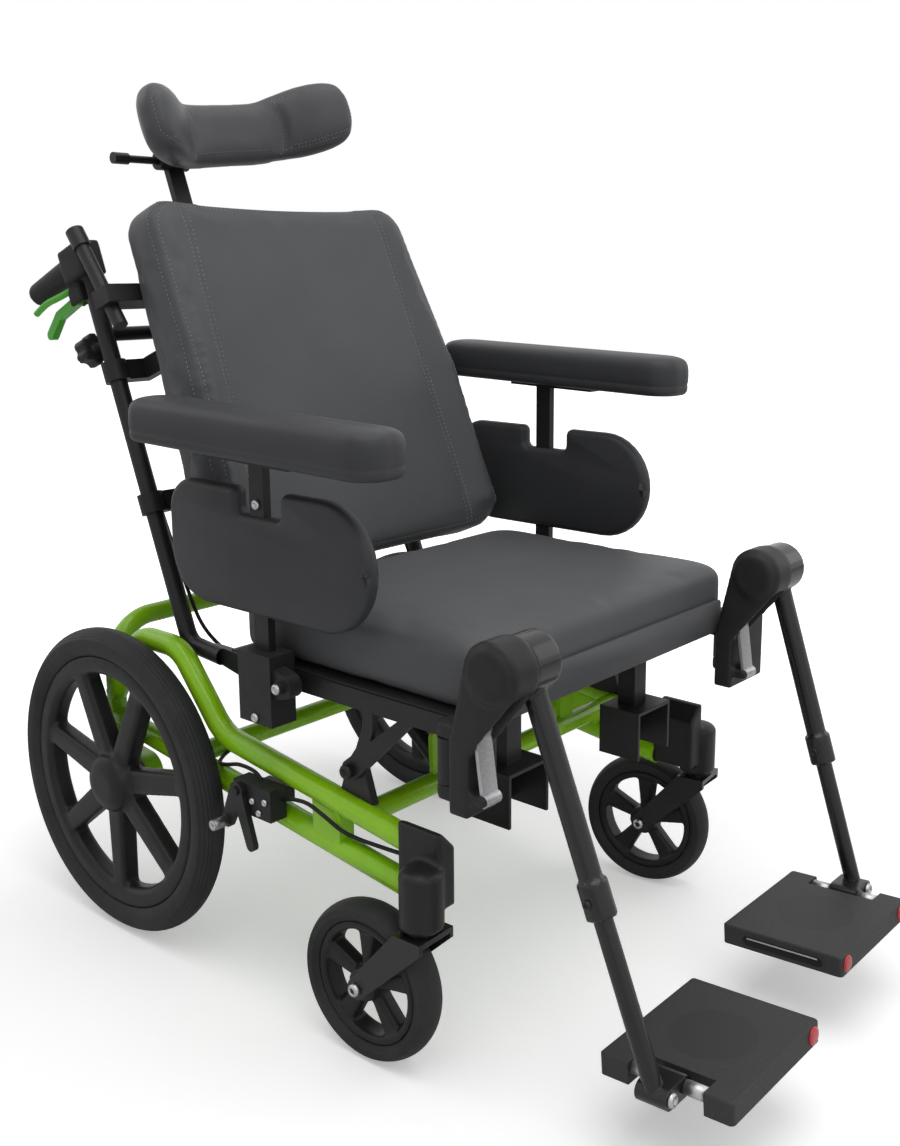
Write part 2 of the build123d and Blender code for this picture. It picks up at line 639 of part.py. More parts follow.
# Caster heads: a welded block, the bearing housing beside it and its domed cap
with BuildPart() as caster_heads:
    for side in SIDES.values():
        outer_x = STEM_X - HEAD_R / 2
        with BuildSketch(Plane.XZ.offset(-HEAD_REAR_Y)) as shoulder:
            with BuildLine():
                Polyline((side * HEAD_INNER_X, HEAD_BOTTOM_Z + 14), (side * outer_x, HEAD_BOTTOM_Z + 14),
                         (side * outer_x, HEAD_TOP_Z), (side * (outer_x - 8), HEAD_TOP_Z),
                         (side * HEAD_INNER_X, HEAD_TOP_Z - HEAD_SLOPE), close=True)
            make_face()
        extrude(shoulder.sketch, amount=HEAD_REAR_Y - HEAD_FRONT_Y)
        with BuildSketch(Plane.XZ.offset(-STEM_Y)) as housing:
            with BuildLine():
                Polyline((side * STEM_X, HEAD_BOTTOM_Z), (side * (STEM_X + HEAD_R), HEAD_BOTTOM_Z),
                         (side * (STEM_X + HEAD_R), HEAD_SHOULDER_Z),
                         (side * (STEM_X + 0.8 * HEAD_R), HEAD_SHOULDER_Z + 5),
                         (side * (STEM_X + 0.4 * HEAD_R), HEAD_SHOULDER_Z + 8),
                         (side * STEM_X, HEAD_SHOULDER_Z + 8), close=True)
            make_face()
        revolve(housing.sketch, axis=Axis((side * STEM_X, STEM_Y, 0), (0, 0, 1)))
        bar((side * STEM_X, STEM_Y, HEAD_BOTTOM_Z - 1), (side * STEM_X, STEM_Y, HEAD_BOTTOM_Z + STEM_LENGTH + 1),
            STEM_R + BORE_GAP, mode=Mode.SUBTRACT)
save(caster_heads, "caster_heads")

# Tilt brackets stand on the upper rails and carry the pins the seat tilts on
with BuildPart() as tilt_brackets:
    for side in SIDES.values():
        ear_x = (side * TILT_EAR_X[0], side * TILT_EAR_X[1])
        web(ear_x, (TILT_Y, TILT_Z), TILT_EAR_R, (TILT_Y, TILT_Z - 42), 2 * TILT_EAR_R)
        bar((ear_x[1], TILT_Y, TILT_Z), (side * (LINK_X[1] + 4), TILT_Y, TILT_Z), TILT_PIN_R)
        rail = [(side * RAIL_X, y, z) for y, z in UPPER_RAIL[:2]]
        bar(rail[0], rail[1], TUBE_R + SEAT_GAP, mode=Mode.SUBTRACT)
        cross = (TILT_EAR_X[0] - 10, TILT_EAR_X[1] + 10)
        block((side * cross[0], side * cross[1]), (ahead(480), ahead(320)), (0, FRONT_CROSS_Z + 12), Mode.SUBTRACT)
        tube = [(s * RAIL_X, FRONT_CROSS_Y, FRONT_CROSS_Z) for s in (-1, 1)]
        bar(tube[0], tube[1], CROSS_R + SEAT_GAP, mode=Mode.SUBTRACT)
save(tilt_brackets, "tilt_brackets")

# Brakes: a body clamped between the rails, and a lever whose pin swings against the tyre
with BuildPart() as brake_bodies:
    for side in SIDES.values():
        block((side * (RAIL_X + TUBE_R + SEAT_GAP), side * BRAKE_BODY_OUT_X), (BRAKE_Y - 52, BRAKE_Y + 13),
              (BRAKE_Z - 28, BRAKE_Z + 10))
        block((side * (RAIL_X - 4), side * (BRAKE_BODY_OUT_X - 4)), (BRAKE_Y - 46, BRAKE_Y - 2),
              (BRAKE_Z - 12, BRAKE_Z + 4))
        bar((side * BRAKE_BODY_OUT_X, BRAKE_Y, BRAKE_Z),
            (side * (BRAKE_BODY_OUT_X + BRAKE_LEVER_THICK + 3), BRAKE_Y, BRAKE_Z), BRAKE_PIVOT_R)
save(brake_bodies, "brake_bodies")

for label, side in SIDES.items():
    with BuildPart() as brake_lever:
        swing = radians(BRAKE_ARM_ANGLE)
        pivot = (BRAKE_Y, BRAKE_Z)
        pin = (BRAKE_Y + BRAKE_ARM * sin(swing), BRAKE_Z - BRAKE_ARM * cos(swing))
        tip = (BRAKE_Y - 22, BRAKE_Z - BRAKE_HANDLE_LENGTH)
        lever_x = (side * (BRAKE_BODY_OUT_X + RUN_GAP), side * (BRAKE_BODY_OUT_X + RUN_GAP + BRAKE_LEVER_THICK))
        web(lever_x, pivot, 11, pin, BRAKE_PIN_R + 2)
        web(lever_x, pivot, 9, tip, 7)
        bar((lever_x[0], *pin), (side * BRAKE_PIN_END_X, *pin), BRAKE_PIN_R)
        bar((lever_x[0], *pivot), (lever_x[1], *pivot), BRAKE_PIVOT_R + RUN_GAP, mode=Mode.SUBTRACT)
    save(brake_lever, f"brake_lever_{label}")

RAIL_FRONT_Y = SEAT_FRONT_Y + CUSHION_LIP + CUSHION_LIFT
# Seat: side rails with the legrest receivers, jogged in at the rear to the recline ears
with BuildPart() as seat_rails:
    for side in SIDES.values():
        block((side * SEAT_RAIL_X[0], side * SEAT_RAIL_X[1]), (RAIL_FRONT_Y, SEAT_RAIL_REAR_Y), SEAT_RAIL_Z)
        block((side * INNER_BAR_X[0], side * INNER_BAR_X[1]), (JOG_Y[0], INNER_BAR_REAR_Y), SEAT_RAIL_Z)
        block((side * INNER_BAR_X[0], side * SEAT_RAIL_X[1]), JOG_Y, SEAT_RAIL_Z)
        ear_x = (side * (INNER_BAR_X[1] - EAR_THICK), side * INNER_BAR_X[1])
        web(ear_x, (RECLINE_Y, RECLINE_Z), EYE_R, (INNER_BAR_REAR_Y - 14, SEAT_RAIL_Z[0] + 11), 11)
        bar((ear_x[0] - 20, RECLINE_Y, RECLINE_Z), (ear_x[0] + 20, RECLINE_Y, RECLINE_Z), SHAFT_R + BORE_GAP,
            mode=Mode.SUBTRACT)
        block((side * (SEAT_RAIL_X[1] - 4), side * HANGER_POST_X), (HANGER_POST_Y - 9, HANGER_POST_Y + 9),
              (SEAT_RAIL_Z[0], RECEIVER_Z[1]))
        post = (side * HANGER_POST_X, HANGER_POST_Y)
        bar((*post, RECEIVER_Z[0]), (*post, RECEIVER_Z[1]), RECEIVER_R)
        bar((*post, RECEIVER_Z[0] - 5), (*post, RECEIVER_Z[1] + 5), HANGER_PIN_R + BORE_GAP, mode=Mode.SUBTRACT)
save(seat_rails, "seat_rails")

# Seat: cross bars with the lugs of the two gas springs
with BuildPart() as seat_cross_bars:
    bar_z = SEAT_RAIL_Z
    for y, half in ((FRONT_BAR_Y, SEAT_RAIL_X[0]), (MID_BAR_Y, SEAT_RAIL_X[0]), (REAR_BAR_Y, INNER_BAR_X[0])):
        block((-half, half), (y - BAR_WIDTH / 2, y + BAR_WIDTH / 2), bar_z)
    for spring_x, (y, z) in ((TILT_SPRING_X, TILT_SPRING_HIGH), (RECLINE_SPRING_X, RECLINE_SPRING_LOW)):
        inner = SPRING_EYE_WIDTH / 2 + RUN_GAP
        for end in (-1, 1):
            lug_x = (spring_x + end * inner, spring_x + end * (inner + LUG_THICK))
            web(lug_x, (y, z), SPRING_EYE_R - 1, (y, bar_z[0] + 9), SPRING_EYE_R - 1)
        bar((spring_x - inner, y, z), (spring_x + inner, y, z), SPRING_PIN_R)
save(seat_cross_bars, "seat_cross_bars")

with BuildPart() as seat_plate:
    plate_top = SEAT_RAIL_Z[1] + SEAT_PLATE
    block((-SEAT_RAIL_X[1] + 2, SEAT_RAIL_X[1] - 2), (RAIL_FRONT_Y, SEAT_REAR_Y), (SEAT_RAIL_Z[1], plate_top))
save(seat_plate, "seat_plate")

# Seat cushion: soft crowned top, sides drawn in towards the seams
CUSHION_BOTTOM = SEAT_RAIL_Z[1] + SEAT_PLATE + CUSHION_LIFT
with BuildPart() as seat_cushion:
    length = SEAT_REAR_Y - SEAT_FRONT_Y
    flank = CUSHION_HEIGHT - CUSHION_CROWN
    rings = ((0.0, CUSHION_DRAW), (0.16, 0.0), (0.72, 0.0), (0.9, 0.6 * CUSHION_DRAW), (1.0, 3 * CUSHION_DRAW))
    slices = [(flank * share, inset) for share, inset in rings]
    slices.append((flank + 0.75 * CUSHION_CROWN, 11 * CUSHION_DRAW))
    slices.append((CUSHION_HEIGHT, 24 * CUSHION_DRAW))
    for height, inset in slices:
        with BuildSketch(Plane.XY.offset(CUSHION_BOTTOM + height)):
            with Locations((0, (SEAT_FRONT_Y + SEAT_REAR_Y) / 2)):
                RectangleRounded(CUSHION_WIDTH - 2 * inset, length - 2 * inset, CUSHION_CORNER)
    loft(ruled=True)
    lip_x = CUSHION_WIDTH / 2 - CUSHION_CORNER
    block((-lip_x, lip_x), (SEAT_FRONT_Y, SEAT_FRONT_Y + CUSHION_LIP),
          (CUSHION_BOTTOM - CUSHION_LIP_DROP, CUSHION_BOTTOM + flank / 2))
save(seat_cushion, "seat_cushion")

# Tilt links: a curved link and a strut under each seat rail meet at the tilt pivot
with BuildPart() as tilt_links:
    for side in SIDES.values():
        link_x = (side * LINK_X[0], side * LINK_X[1])
        pivot = (TILT_Y, TILT_Z)
        top = (LINK_TOP_Y, SEAT_RAIL_Z[0] + 10)
        run_y = top[0] - pivot[0]
        run_z = top[1] - pivot[1]
        bowed = [(pivot[0] + run_y * t - LINK_BOW * 4 * t * (1 - t), pivot[1] + run_z * t) for t in (0, 0.3, 0.65, 1)]
        for first, second in zip(bowed, bowed[1:]):
            web(link_x, first, LINK_WIDTH / 2, second, LINK_WIDTH / 2)
        web(link_x, pivot, 2 * TILT_PIN_R, (STRUT_TOP_Y, SEAT_RAIL_Z[0] + 8), STRUT_WIDTH / 2)
        bar((link_x[0], *pivot), (link_x[1], *pivot), TILT_PIN_R + BORE_GAP, mode=Mode.SUBTRACT)
    block((-2 * RAIL_X, 2 * RAIL_X), (ahead(600), ahead(300)), (SEAT_RAIL_Z[0], SEAT_RAIL_Z[1] + 40), Mode.SUBTRACT)
save(tilt_links, "tilt_links")

# Front posts hang under the seat and end in U-channels open to the front
with BuildPart() as front_posts:
    for side in SIDES.values():
        x = side * FRONT_POST_X
        half = FRONT_POST / 2
        channel_top = FRONT_POST_BOTTOM_Z
        channel_x = (x - CHANNEL_WIDTH / 2, x + CHANNEL_WIDTH / 2)
        channel_y = (FRONT_BAR_Y - CHANNEL_DEPTH / 2 - 5, FRONT_BAR_Y + CHANNEL_DEPTH / 2 - 5)
        channel_z = (channel_top - CHANNEL_HEIGHT, channel_top)
        block((x - half, x + half), (FRONT_BAR_Y - half, FRONT_BAR_Y + half), (channel_top - 2, SEAT_RAIL_Z[0]))
        block(channel_x, channel_y, channel_z)
        block((channel_x[0] + CHANNEL_WALL, channel_x[1] - CHANNEL_WALL),
              (channel_y[0] - 1, channel_y[1] - CHANNEL_WALL),
              (channel_z[0] - 1, channel_z[1] - CHANNEL_WALL), Mode.SUBTRACT)
save(front_posts, "front_posts")

# Armrest sockets clamp on the seat rails, each with a bolt boss in front
with BuildPart() as armrest_sockets:
    for label, side in SIDES.items():
        socket_y = (SOCKET_Y[0] + ARM_BACK[label], SOCKET_Y[1] + ARM_BACK[label])
        block((side * SOCKET_X[0], side * SOCKET_X[1]), socket_y, SOCKET_Z)
        boss = (socket_y[0] - 14, SOCKET_Z[1] - 32)
        web((side * (SOCKET_X[0] + 14), side * (SOCKET_X[1] - 4)), boss, 14, (socket_y[0] + 12, boss[1]), 20)
        bar((side * (SOCKET_X[1] - 4), *boss), (side * (SOCKET_X[1] + 3), *boss), 7)
        reach_x = POST_THICK / 2 + RUN_GAP
        reach_y = POST_WIDTH / 2 + RUN_GAP
        hole_y = ARM_Y + ARM_BACK[label]
        block((side * ARM_X - reach_x, side * ARM_X + reach_x), (hole_y - reach_y, hole_y + reach_y),
              (SOCKET_Z[0] - 5, SOCKET_Z[1] + 5), Mode.SUBTRACT)
save(armrest_sockets, "armrest_sockets")


def spring_body(x, low, high, length):
    """Cylinder of a gas spring with its lower eye; its bore takes the rod."""
    with BuildPart() as body:
        eye_x = (x - SPRING_EYE_WIDTH / 2, x + SPRING_EYE_WIDTH / 2)
        bar((x, *along(low, high, SPRING_EYE_R + 3)), (x, *along(low, high, SPRING_EYE_R + 3 + length)), SPRING_R)
        web(eye_x, low, SPRING_EYE_R, along(low, high, SPRING_EYE_R + 6), SPRING_EYE_R)
        bar((x, *along(low, high, 36)), (x, *along(low, high, SPRING_EYE_R + 4 + length)), SPRING_ROD_R + RUN_GAP,
            mode=Mode.SUBTRACT)
        bar((eye_x[0], *low), (eye_x[1], *low), SPRING_PIN_R + BORE_GAP, mode=Mode.SUBTRACT)
    return body


def spring_rod(x, low, high, start):
    """Rod of a gas spring with an open eye at its upper end."""
    with BuildPart() as rod:
        reach = Vector(high[0] - low[0], high[1] - low[1]).length
        eye_x = (x - SPRING_EYE_WIDTH / 2, x + SPRING_EYE_WIDTH / 2)
        bar((x, *along(low, high, start)), (x, *along(low, high, reach - 4)), SPRING_ROD_R)
        bar((eye_x[0], *high), (eye_x[1], *high), SPRING_EYE_R)
        bar((eye_x[0] - 1, *high), (eye_x[1] + 1, *high), SPRING_PIN_R + OPEN_PIVOT_GAP, mode=Mode.SUBTRACT)
    return rod


# Gas springs of the tilt and of the recline
RECLINE_SPRING_HIGH = (RECLINE_Y, RECLINE_Z - RECLINE_LEVER)
tilt_cylinder = spring_body(TILT_SPRING_X, TILT_SPRING_LOW, TILT_SPRING_HIGH, TILT_CYLINDER)
save(tilt_cylinder, "tilt_cylinder")
tilt_rod = spring_rod(TILT_SPRING_X, TILT_SPRING_LOW, TILT_SPRING_HIGH, 72)
save(tilt_rod, "tilt_rod")
recline_cylinder = spring_body(RECLINE_SPRING_X, RECLINE_SPRING_LOW, RECLINE_SPRING_HIGH, RECLINE_CYLINDER)
save(recline_cylinder, "recline_cylinder")
recline_rod = spring_rod(RECLINE_SPRING_X, RECLINE_SPRING_LOW, RECLINE_SPRING_HIGH, 60)
save(recline_rod, "recline_rod")


def panel_face(x, lift, back, inset):
    """Outline of a side panel, round in front, notched over its post."""
    low, high = PANEL_Z[0] + lift + inset, PANEL_Z[1] + lift - inset
    radius = (high - low) / 2
    centre_y = PANEL_FRONT_Y + back + inset + radius
    rear = PANEL_REAR_Y + back - inset
    with BuildSketch(side_plane(x)) as outline:
        with Locations(((centre_y + rear) / 2, (low + high) / 2)):
            Rectangle(rear - centre_y, high - low)
        fillet(outline.vertices().group_by(Axis.X)[-1].sort_by(Axis.Y)[0], radius=PANEL_REAR_LOW_R)
        fillet(outline.vertices().group_by(Axis.X)[-1].sort_by(Axis.Y)[-1], radius=PANEL_REAR_TOP_R)
        with Locations((centre_y, (low + high) / 2)):
            Circle(radius)
        with Locations(((NOTCH_Y[0] + NOTCH_Y[1]) / 2 + back, high)):
            Rectangle(NOTCH_Y[1] - NOTCH_Y[0] + 2 * inset, 2 * NOTCH_DEPTH, mode=Mode.SUBTRACT)
    return outline.sketch


# Armrests: height post with its top plate, arm pad and padded side panel
for label, side in SIDES.items():
    lift = ARM_LIFT[label]
    back = ARM_BACK[label]
    pad_foot = Location((side * PAD_X, PAD_Y + back, PAD_BOTTOM_Z + lift), (PAD_TILT, 0, 0))
    with BuildPart() as armrest_post:
        post_x = (side * ARM_X - POST_THICK / 2, side * ARM_X + POST_THICK / 2)
        post_y = (ARM_Y + back - POST_WIDTH / 2, ARM_Y + back + POST_WIDTH / 2)
        block(post_x, post_y, (POST_FOOT_Z + lift, PAD_BOTTOM_Z + lift - PAD_PLATE / 2))
        with BuildSketch(Plane(pad_foot)) as plate:
            Rectangle(PAD_PLATE_WIDTH, PAD_PLATE_LENGTH)
        extrude(plate.sketch, amount=-PAD_PLATE)
    save(armrest_post, f"armrest_post_{label}")
    with BuildPart() as armrest_pad:
        rings = ((0.0, 7.0), (0.12, 1.0), (0.3, 0.0), (0.65, 0.0), (0.84, 4.0), (0.95, 11.0), (1.0, 22.0))
        for share, inset in rings:
            with BuildSketch(Plane(pad_foot * Location((0, 0, share * PAD_HEIGHT)))):
                corner = PAD_CORNER - 0.8 * inset
                RectangleRounded(PAD_WIDTH - 2 * inset, PAD_LENGTH - 2 * inset, corner)
        loft(ruled=True)
    save(armrest_pad, f"armrest_pad_{label}")
    with BuildPart() as side_panel:
        bulge = side * PANEL_EDGE
        stations = ((side * PANEL_X[0], PANEL_EDGE), (side * PANEL_X[0] + bulge, 0.0),
                    (side * PANEL_X[1] - bulge, 0.0), (side * PANEL_X[1], PANEL_EDGE))
        loft([panel_face(x, PANEL_LIFT[label], back, inset) for x, inset in stations], ruled=True)
        block((post_x[0] - SEAT_GAP, post_x[1] + SEAT_GAP), (post_y[0] - SEAT_GAP, post_y[1] + SEAT_GAP),
              (PANEL_Z[0], PANEL_Z[1] + 50), Mode.SUBTRACT)
    save(side_panel, f"side_panel_{label}")

# Back tubes: bent at the foot, with the hinge eyes of the recline
with BuildPart() as back_tubes:
    for side in SIDES.values():
        x = side * BACK_TUBE_X
        line = (BACK_TUBE_FOOT, BACK_TUBE_BEND, (BACK_TUBE_TOP, BACK_TUBE_V))
        pipe([back_at(x, u, v) for u, v in line], BACK_TUBE_BEND_R, BACK_TUBE_R, BACK_TUBE_WALL)
        eye_x = (side * (INNER_BAR_X[1] + RUN_GAP), side * (INNER_BAR_X[1] + RUN_GAP + EYE_THICK))
        foot = back_at(x, *BACK_TUBE_FOOT)[1:]
        elbow = back_at(x, 27, 52)[1:]
        web(eye_x, (RECLINE_Y, RECLINE_Z), EYE_R, foot, BACK_TUBE_R)
        web(eye_x, foot, BACK_TUBE_R, elbow, BACK_TUBE_R - 2)
        bar((eye_x[0], RECLINE_Y, RECLINE_Z), (eye_x[1], RECLINE_Y, RECLINE_Z), SHAFT_R + BORE_GAP, mode=Mode.SUBTRACT)
        cane = [back_at(side * CANE_X, u, v) for u, v in (CANE_LOW, CANE_HIGH)]
        cap = Vector(cane[1]) + (Vector(cane[0]) - Vector(cane[1])).normalized() * CANE_CAP
        bar(cane[0], cane[1], CANE_R)
        bar(cap, cane[1], CANE_CAP_R)
save(back_tubes, "back_tubes")

# Cross bar of the back with the headrest holder, and the recline shaft with its lever
with BuildPart() as back_cross_bar:
    ends = [back_at(side * BACK_TUBE_X, CROSS_BAR_U, BACK_TUBE_V) for side in SIDES.values()]
    bar(ends[0], ends[1], CROSS_BAR_R)
    with BuildSketch(back_plane(CROSS_BAR_U - 20)) as holder:
        holder_depth = BACK_TUBE_V + CROSS_BAR_R - HEAD_POST_V + HEAD_POST_THICK / 2 + HOLDER_WALL
        with Locations((HEAD_X, HEAD_POST_V - HEAD_POST_THICK / 2 - HOLDER_WALL + holder_depth / 2)):
            Rectangle(HEAD_POST_WIDTH + 2 * HOLDER_WALL, holder_depth)
    extrude(holder.sketch, amount=40)
    with BuildSketch(back_plane(CROSS_BAR_U - 30)) as slot:
        with Locations((HEAD_X, HEAD_POST_V)):
            Rectangle(HEAD_POST_WIDTH + 2 * RUN_GAP, HEAD_POST_THICK + 2 * RUN_GAP)
    extrude(slot.sketch, amount=60, mode=Mode.SUBTRACT)
    for side in SIDES.values():
        bar(back_at(side * BACK_TUBE_X, 0, BACK_TUBE_V), back_at(side * BACK_TUBE_X, 700, BACK_TUBE_V),
            BACK_TUBE_R + SEAT_GAP, mode=Mode.SUBTRACT)
    shaft_end = INNER_BAR_X[1] + RUN_GAP + EYE_THICK
    sleeve_end = INNER_BAR_X[1] - EAR_THICK - RUN_GAP
    pivot = (RECLINE_Y, RECLINE_Z)
    bar((-shaft_end, *pivot), (shaft_end, *pivot), SHAFT_R)
    bar((-sleeve_end, *pivot), (sleeve_end, *pivot), SLEEVE_R)
    inner = SPRING_EYE_WIDTH / 2 + RUN_GAP
    for end in (-1, 1):
        lever_x = (RECLINE_SPRING_X + end * inner, RECLINE_SPRING_X + end * (inner + LUG_THICK))
        web(lever_x, pivot, SLEEVE_R + 2, RECLINE_SPRING_HIGH, SPRING_EYE_R - 1)
    bar((RECLINE_SPRING_X - inner, *RECLINE_SPRING_HIGH), (RECLINE_SPRING_X + inner, *RECLINE_SPRING_HIGH), SPRING_PIN_R)
save(back_cross_bar, "back_cross_bar")


def back_outline(v, inset):
    """Outline of the back cushion at depth v: narrower at the top, with a hollow top edge."""
    low, high = BACK_CUSHION_U[0] + inset, BACK_CUSHION_U[1] - inset
    wide, narrow = BACK_HALF_WIDTH[0] - inset, BACK_HALF_WIDTH[1] - inset
    with BuildSketch(back_face(v)) as outline:
        with BuildLine():
            Polyline((-narrow, high), (-wide, low), (wide, low), (narrow, high))
            ThreePointArc((narrow, high), (0, high - BACK_DIP), (-narrow, high))
        make_face()
        fillet(outline.vertices(), radius=BACK_CORNER)
    return outline.sketch


# Back shell with four clamps around the back tubes
with BuildPart() as back_shell:
    with BuildSketch(back_face(SHELL_V[1])) as outline:
        with BuildLine():
            Polyline((-SHELL_HALF_WIDTH[1], SHELL_U[1]), (-SHELL_HALF_WIDTH[0], SHELL_U[0]),
                     (SHELL_HALF_WIDTH[0], SHELL_U[0]), (SHELL_HALF_WIDTH[1], SHELL_U[1]), close=True)
        make_face()
        fillet(outline.vertices(), radius=SHELL_CORNER)
    extrude(amount=SHELL_V[1] - SHELL_V[0])
    for u in CLAMP_U:
        for side in SIDES.values():
            clamp_r = BACK_TUBE_R + CLAMP_WALL
            with BuildSketch(back_plane(u - CLAMP_HEIGHT / 2)) as clamp:
                inner_x = CLAMP_X - CLAMP_WIDTH / 2
                with Locations((side * CLAMP_X, (SHELL_V[1] + BACK_TUBE_V) / 2 + 4)):
                    Rectangle(CLAMP_WIDTH, BACK_TUBE_V - SHELL_V[1] + 10)
                with Locations((side * (inner_x + BACK_TUBE_X) / 2, BACK_TUBE_V)):
                    Rectangle(BACK_TUBE_X - inner_x, 1.6 * BACK_TUBE_R)
                with Locations((side * BACK_TUBE_X, BACK_TUBE_V)):
                    Circle(clamp_r)
                    Circle(BACK_TUBE_R + BORE_GAP, mode=Mode.SUBTRACT)
            extrude(clamp.sketch, amount=CLAMP_HEIGHT)
    for side in SIDES.values():
        with BuildSketch(back_plane(HOOK_U[0])) as hook:
            hook_x = (CLAMP_X, CANE_X + CANE_R + CLAMP_WALL)
            with Locations((side * (hook_x[0] + hook_x[1]) / 2, (SHELL_V[0] + HOOK_V) / 2)):
                Rectangle(hook_x[1] - hook_x[0], HOOK_V - SHELL_V[0])
        extrude(hook.sketch, amount=HOOK_U[1] - HOOK_U[0])
        cane = [back_at(side * CANE_X, u, v) for u, v in (CANE_LOW, CANE_HIGH)]
        bar(cane[0], cane[1], CANE_R + BORE_GAP, mode=Mode.SUBTRACT)
save(back_shell, "back_shell")

# Back cushion: edges drawn in to the seams, face crowned towards the sitter
with BuildPart() as back_cushion:
    front, rear = BACK_CUSHION_V
    deep = rear - front
    rings = ((0.0, BACK_DRAW), (0.14, 0.0), (0.72, 0.0), (0.88, 0.7 * BACK_DRAW), (0.95, 2.6 * BACK_DRAW),
             (1.0, 9 * BACK_DRAW))
    loft([back_outline(rear - deep * share, inset) for share, inset in rings], ruled=True)
    for side in SIDES.values():
        sections = []
        for u, inner, ridge, depth in BOLSTER:
            with BuildSketch(back_plane(u)) as section:
                with BuildLine():
                    Polyline((side * inner, 0.6 * front), (side * inner, 0.94 * front),
                             (side * (ridge - BOLSTER_ROUND), depth), (side * ridge, depth),
                             (side * (ridge + BOLSTER_ROUND), depth + BOLSTER_ROUND),
                             (side * (ridge + BOLSTER_ROUND), 0.6 * front), close=True)
                make_face()
            sections.append(section.sketch)
        loft(sections, ruled=True)
save(back_cushion, "back_cushion")

# Star knobs that lock the push handles in the back tubes
with BuildPart() as handle_knobs:
    for side in SIDES.values():
        x = side * BACK_TUBE_X
        stem_v = BACK_TUBE_V + BACK_TUBE_R
        bar(back_at(x, KNOB_U, stem_v - 2), back_at(x, KNOB_U, stem_v + KNOB_STEM + 2), KNOB_STEM_R)
        with BuildSketch(back_face(stem_v + KNOB_STEM + KNOB_THICK, KNOB_U, x)) as star:
            Circle(KNOB_R)
            with PolarLocations(KNOB_R + 3, KNOB_LOBES):
                Circle(7, mode=Mode.SUBTRACT)
        extrude(star.sketch, amount=KNOB_THICK)
        bar(back_at(x, 300, BACK_TUBE_V), back_at(x, 600, BACK_TUBE_V), BACK_TUBE_R + SEAT_GAP, mode=Mode.SUBTRACT)
save(handle_knobs, "handle_knobs")

# Push handles: rod in the back tube, clamp block, grip and the cheeks of the release lever
for label, side in SIDES.items():
    x = side * BACK_TUBE_X
    with BuildPart() as push_handle:
        bar(back_at(x, ROD_FOOT_U, BACK_TUBE_V), back_at(x, BLOCK_U[0] + 10, BACK_TUBE_V),
            BACK_TUBE_R - BACK_TUBE_WALL - RUN_GAP)
        with BuildSketch(back_plane(BLOCK_U[0], (BLOCK_V[0] + BLOCK_V[1]) / 2, x)) as clamp_block:
            RectangleRounded(BLOCK_WIDTH, BLOCK_V[1] - BLOCK_V[0], 8)
        extrude(clamp_block.sketch, amount=BLOCK_U[1] - BLOCK_U[0])
        grip_start = Vector(*back_at(x, GRIP_U, BLOCK_V[1] - 16))
        drop = radians(GRIP_DROP)
        grip_end = grip_start + Vector(0, cos(drop), -sin(drop)) * GRIP_LENGTH
        grip_tip = grip_start + Vector(0, cos(drop), -sin(drop)) * (GRIP_LENGTH + 5)
        bar(grip_start, grip_end, GRIP_R)
        bar(grip_start, grip_tip, GRIP_R - 4)
        pivot_u, pivot_v = TRIGGER_PIVOT
        with BuildSketch(back_plane(pivot_u - TRIGGER_HUB_R, BLOCK_V[1] - 6, x)) as cheeks:
            Rectangle(TRIGGER_THICK + 10, 30)
            with Locations((0, 14)):
                Rectangle(TRIGGER_THICK + 2 * RUN_GAP, 38, mode=Mode.SUBTRACT)
        extrude(cheeks.sketch, amount=BLOCK_U[0] - pivot_u + TRIGGER_HUB_R)
        pin_half = TRIGGER_THICK / 2 + 5
        pivot = back_at(x, pivot_u, pivot_v)
        bar((x - pin_half, *pivot[1:]), (x + pin_half, *pivot[1:]), TRIGGER_PIVOT_R)
    save(push_handle, f"push_handle_{label}")
    with BuildPart() as release_lever:
        hub_at = pivot[1:]
        elbow = (hub_at[0] + TRIGGER_ELBOW[0], hub_at[1] + TRIGGER_ELBOW[1])
        tip = (hub_at[0] + TRIGGER_TIP[0], hub_at[1] + TRIGGER_TIP[1])
        lever_x = (x - TRIGGER_THICK / 2, x + TRIGGER_THICK / 2)
        web(lever_x, hub_at, TRIGGER_HUB_R - 1, elbow, 6)
        web(lever_x, elbow, 6, tip, 6.5)
        bar((lever_x[0], *hub_at), (lever_x[1], *hub_at), TRIGGER_PIVOT_R + RUN_GAP, mode=Mode.SUBTRACT)
    save(release_lever, f"release_lever_{label}")

# Headrest: flat post with a knuckle and clamp lever, bracket, and a wrap-around pad
with BuildPart() as headrest_post:
    with BuildSketch(back_plane(HEAD_POST_U[0], HEAD_POST_V, HEAD_X)) as section:
        Rectangle(HEAD_POST_WIDTH, HEAD_POST_THICK)
    extrude(section.sketch, amount=HEAD_POST_U[1] - HEAD_POST_U[0])
    knuckle = back_at(HEAD_X, KNUCKLE_U, HEAD_POST_V)
    reach = KNUCKLE_WIDTH / 2
    bar((HEAD_X - reach, *knuckle[1:]), (HEAD_X + reach, *knuckle[1:]), KNUCKLE_R)
    bar((HEAD_X - CLAMP_LEVER, *knuckle[1:]), (HEAD_X + reach + 8, *knuckle[1:]), 5)
    bar((HEAD_X - CLAMP_LEVER - CLAMP_LEVER_END, *knuckle[1:]), (HEAD_X - CLAMP_LEVER, *knuckle[1:]), 7.5)
save(headrest_post, "headrest_post")

with BuildPart() as headrest_pad:
    centre = Location(HEADREST_AT, (HEADREST_PITCH, HEADREST_ROLL, 0))
    mirrored = [(-x, *rest) for x, *rest in reversed(HEADREST_SECTIONS[1:])]
    for x, forward, deep, high, rise in mirrored + HEADREST_SECTIONS:
        with BuildSketch(across(centre * Location((0, -forward, rise)), x)):
            RectangleRounded(deep, high, 0.42 * deep)
    loft(ruled=True)
save(headrest_pad, "headrest_pad")

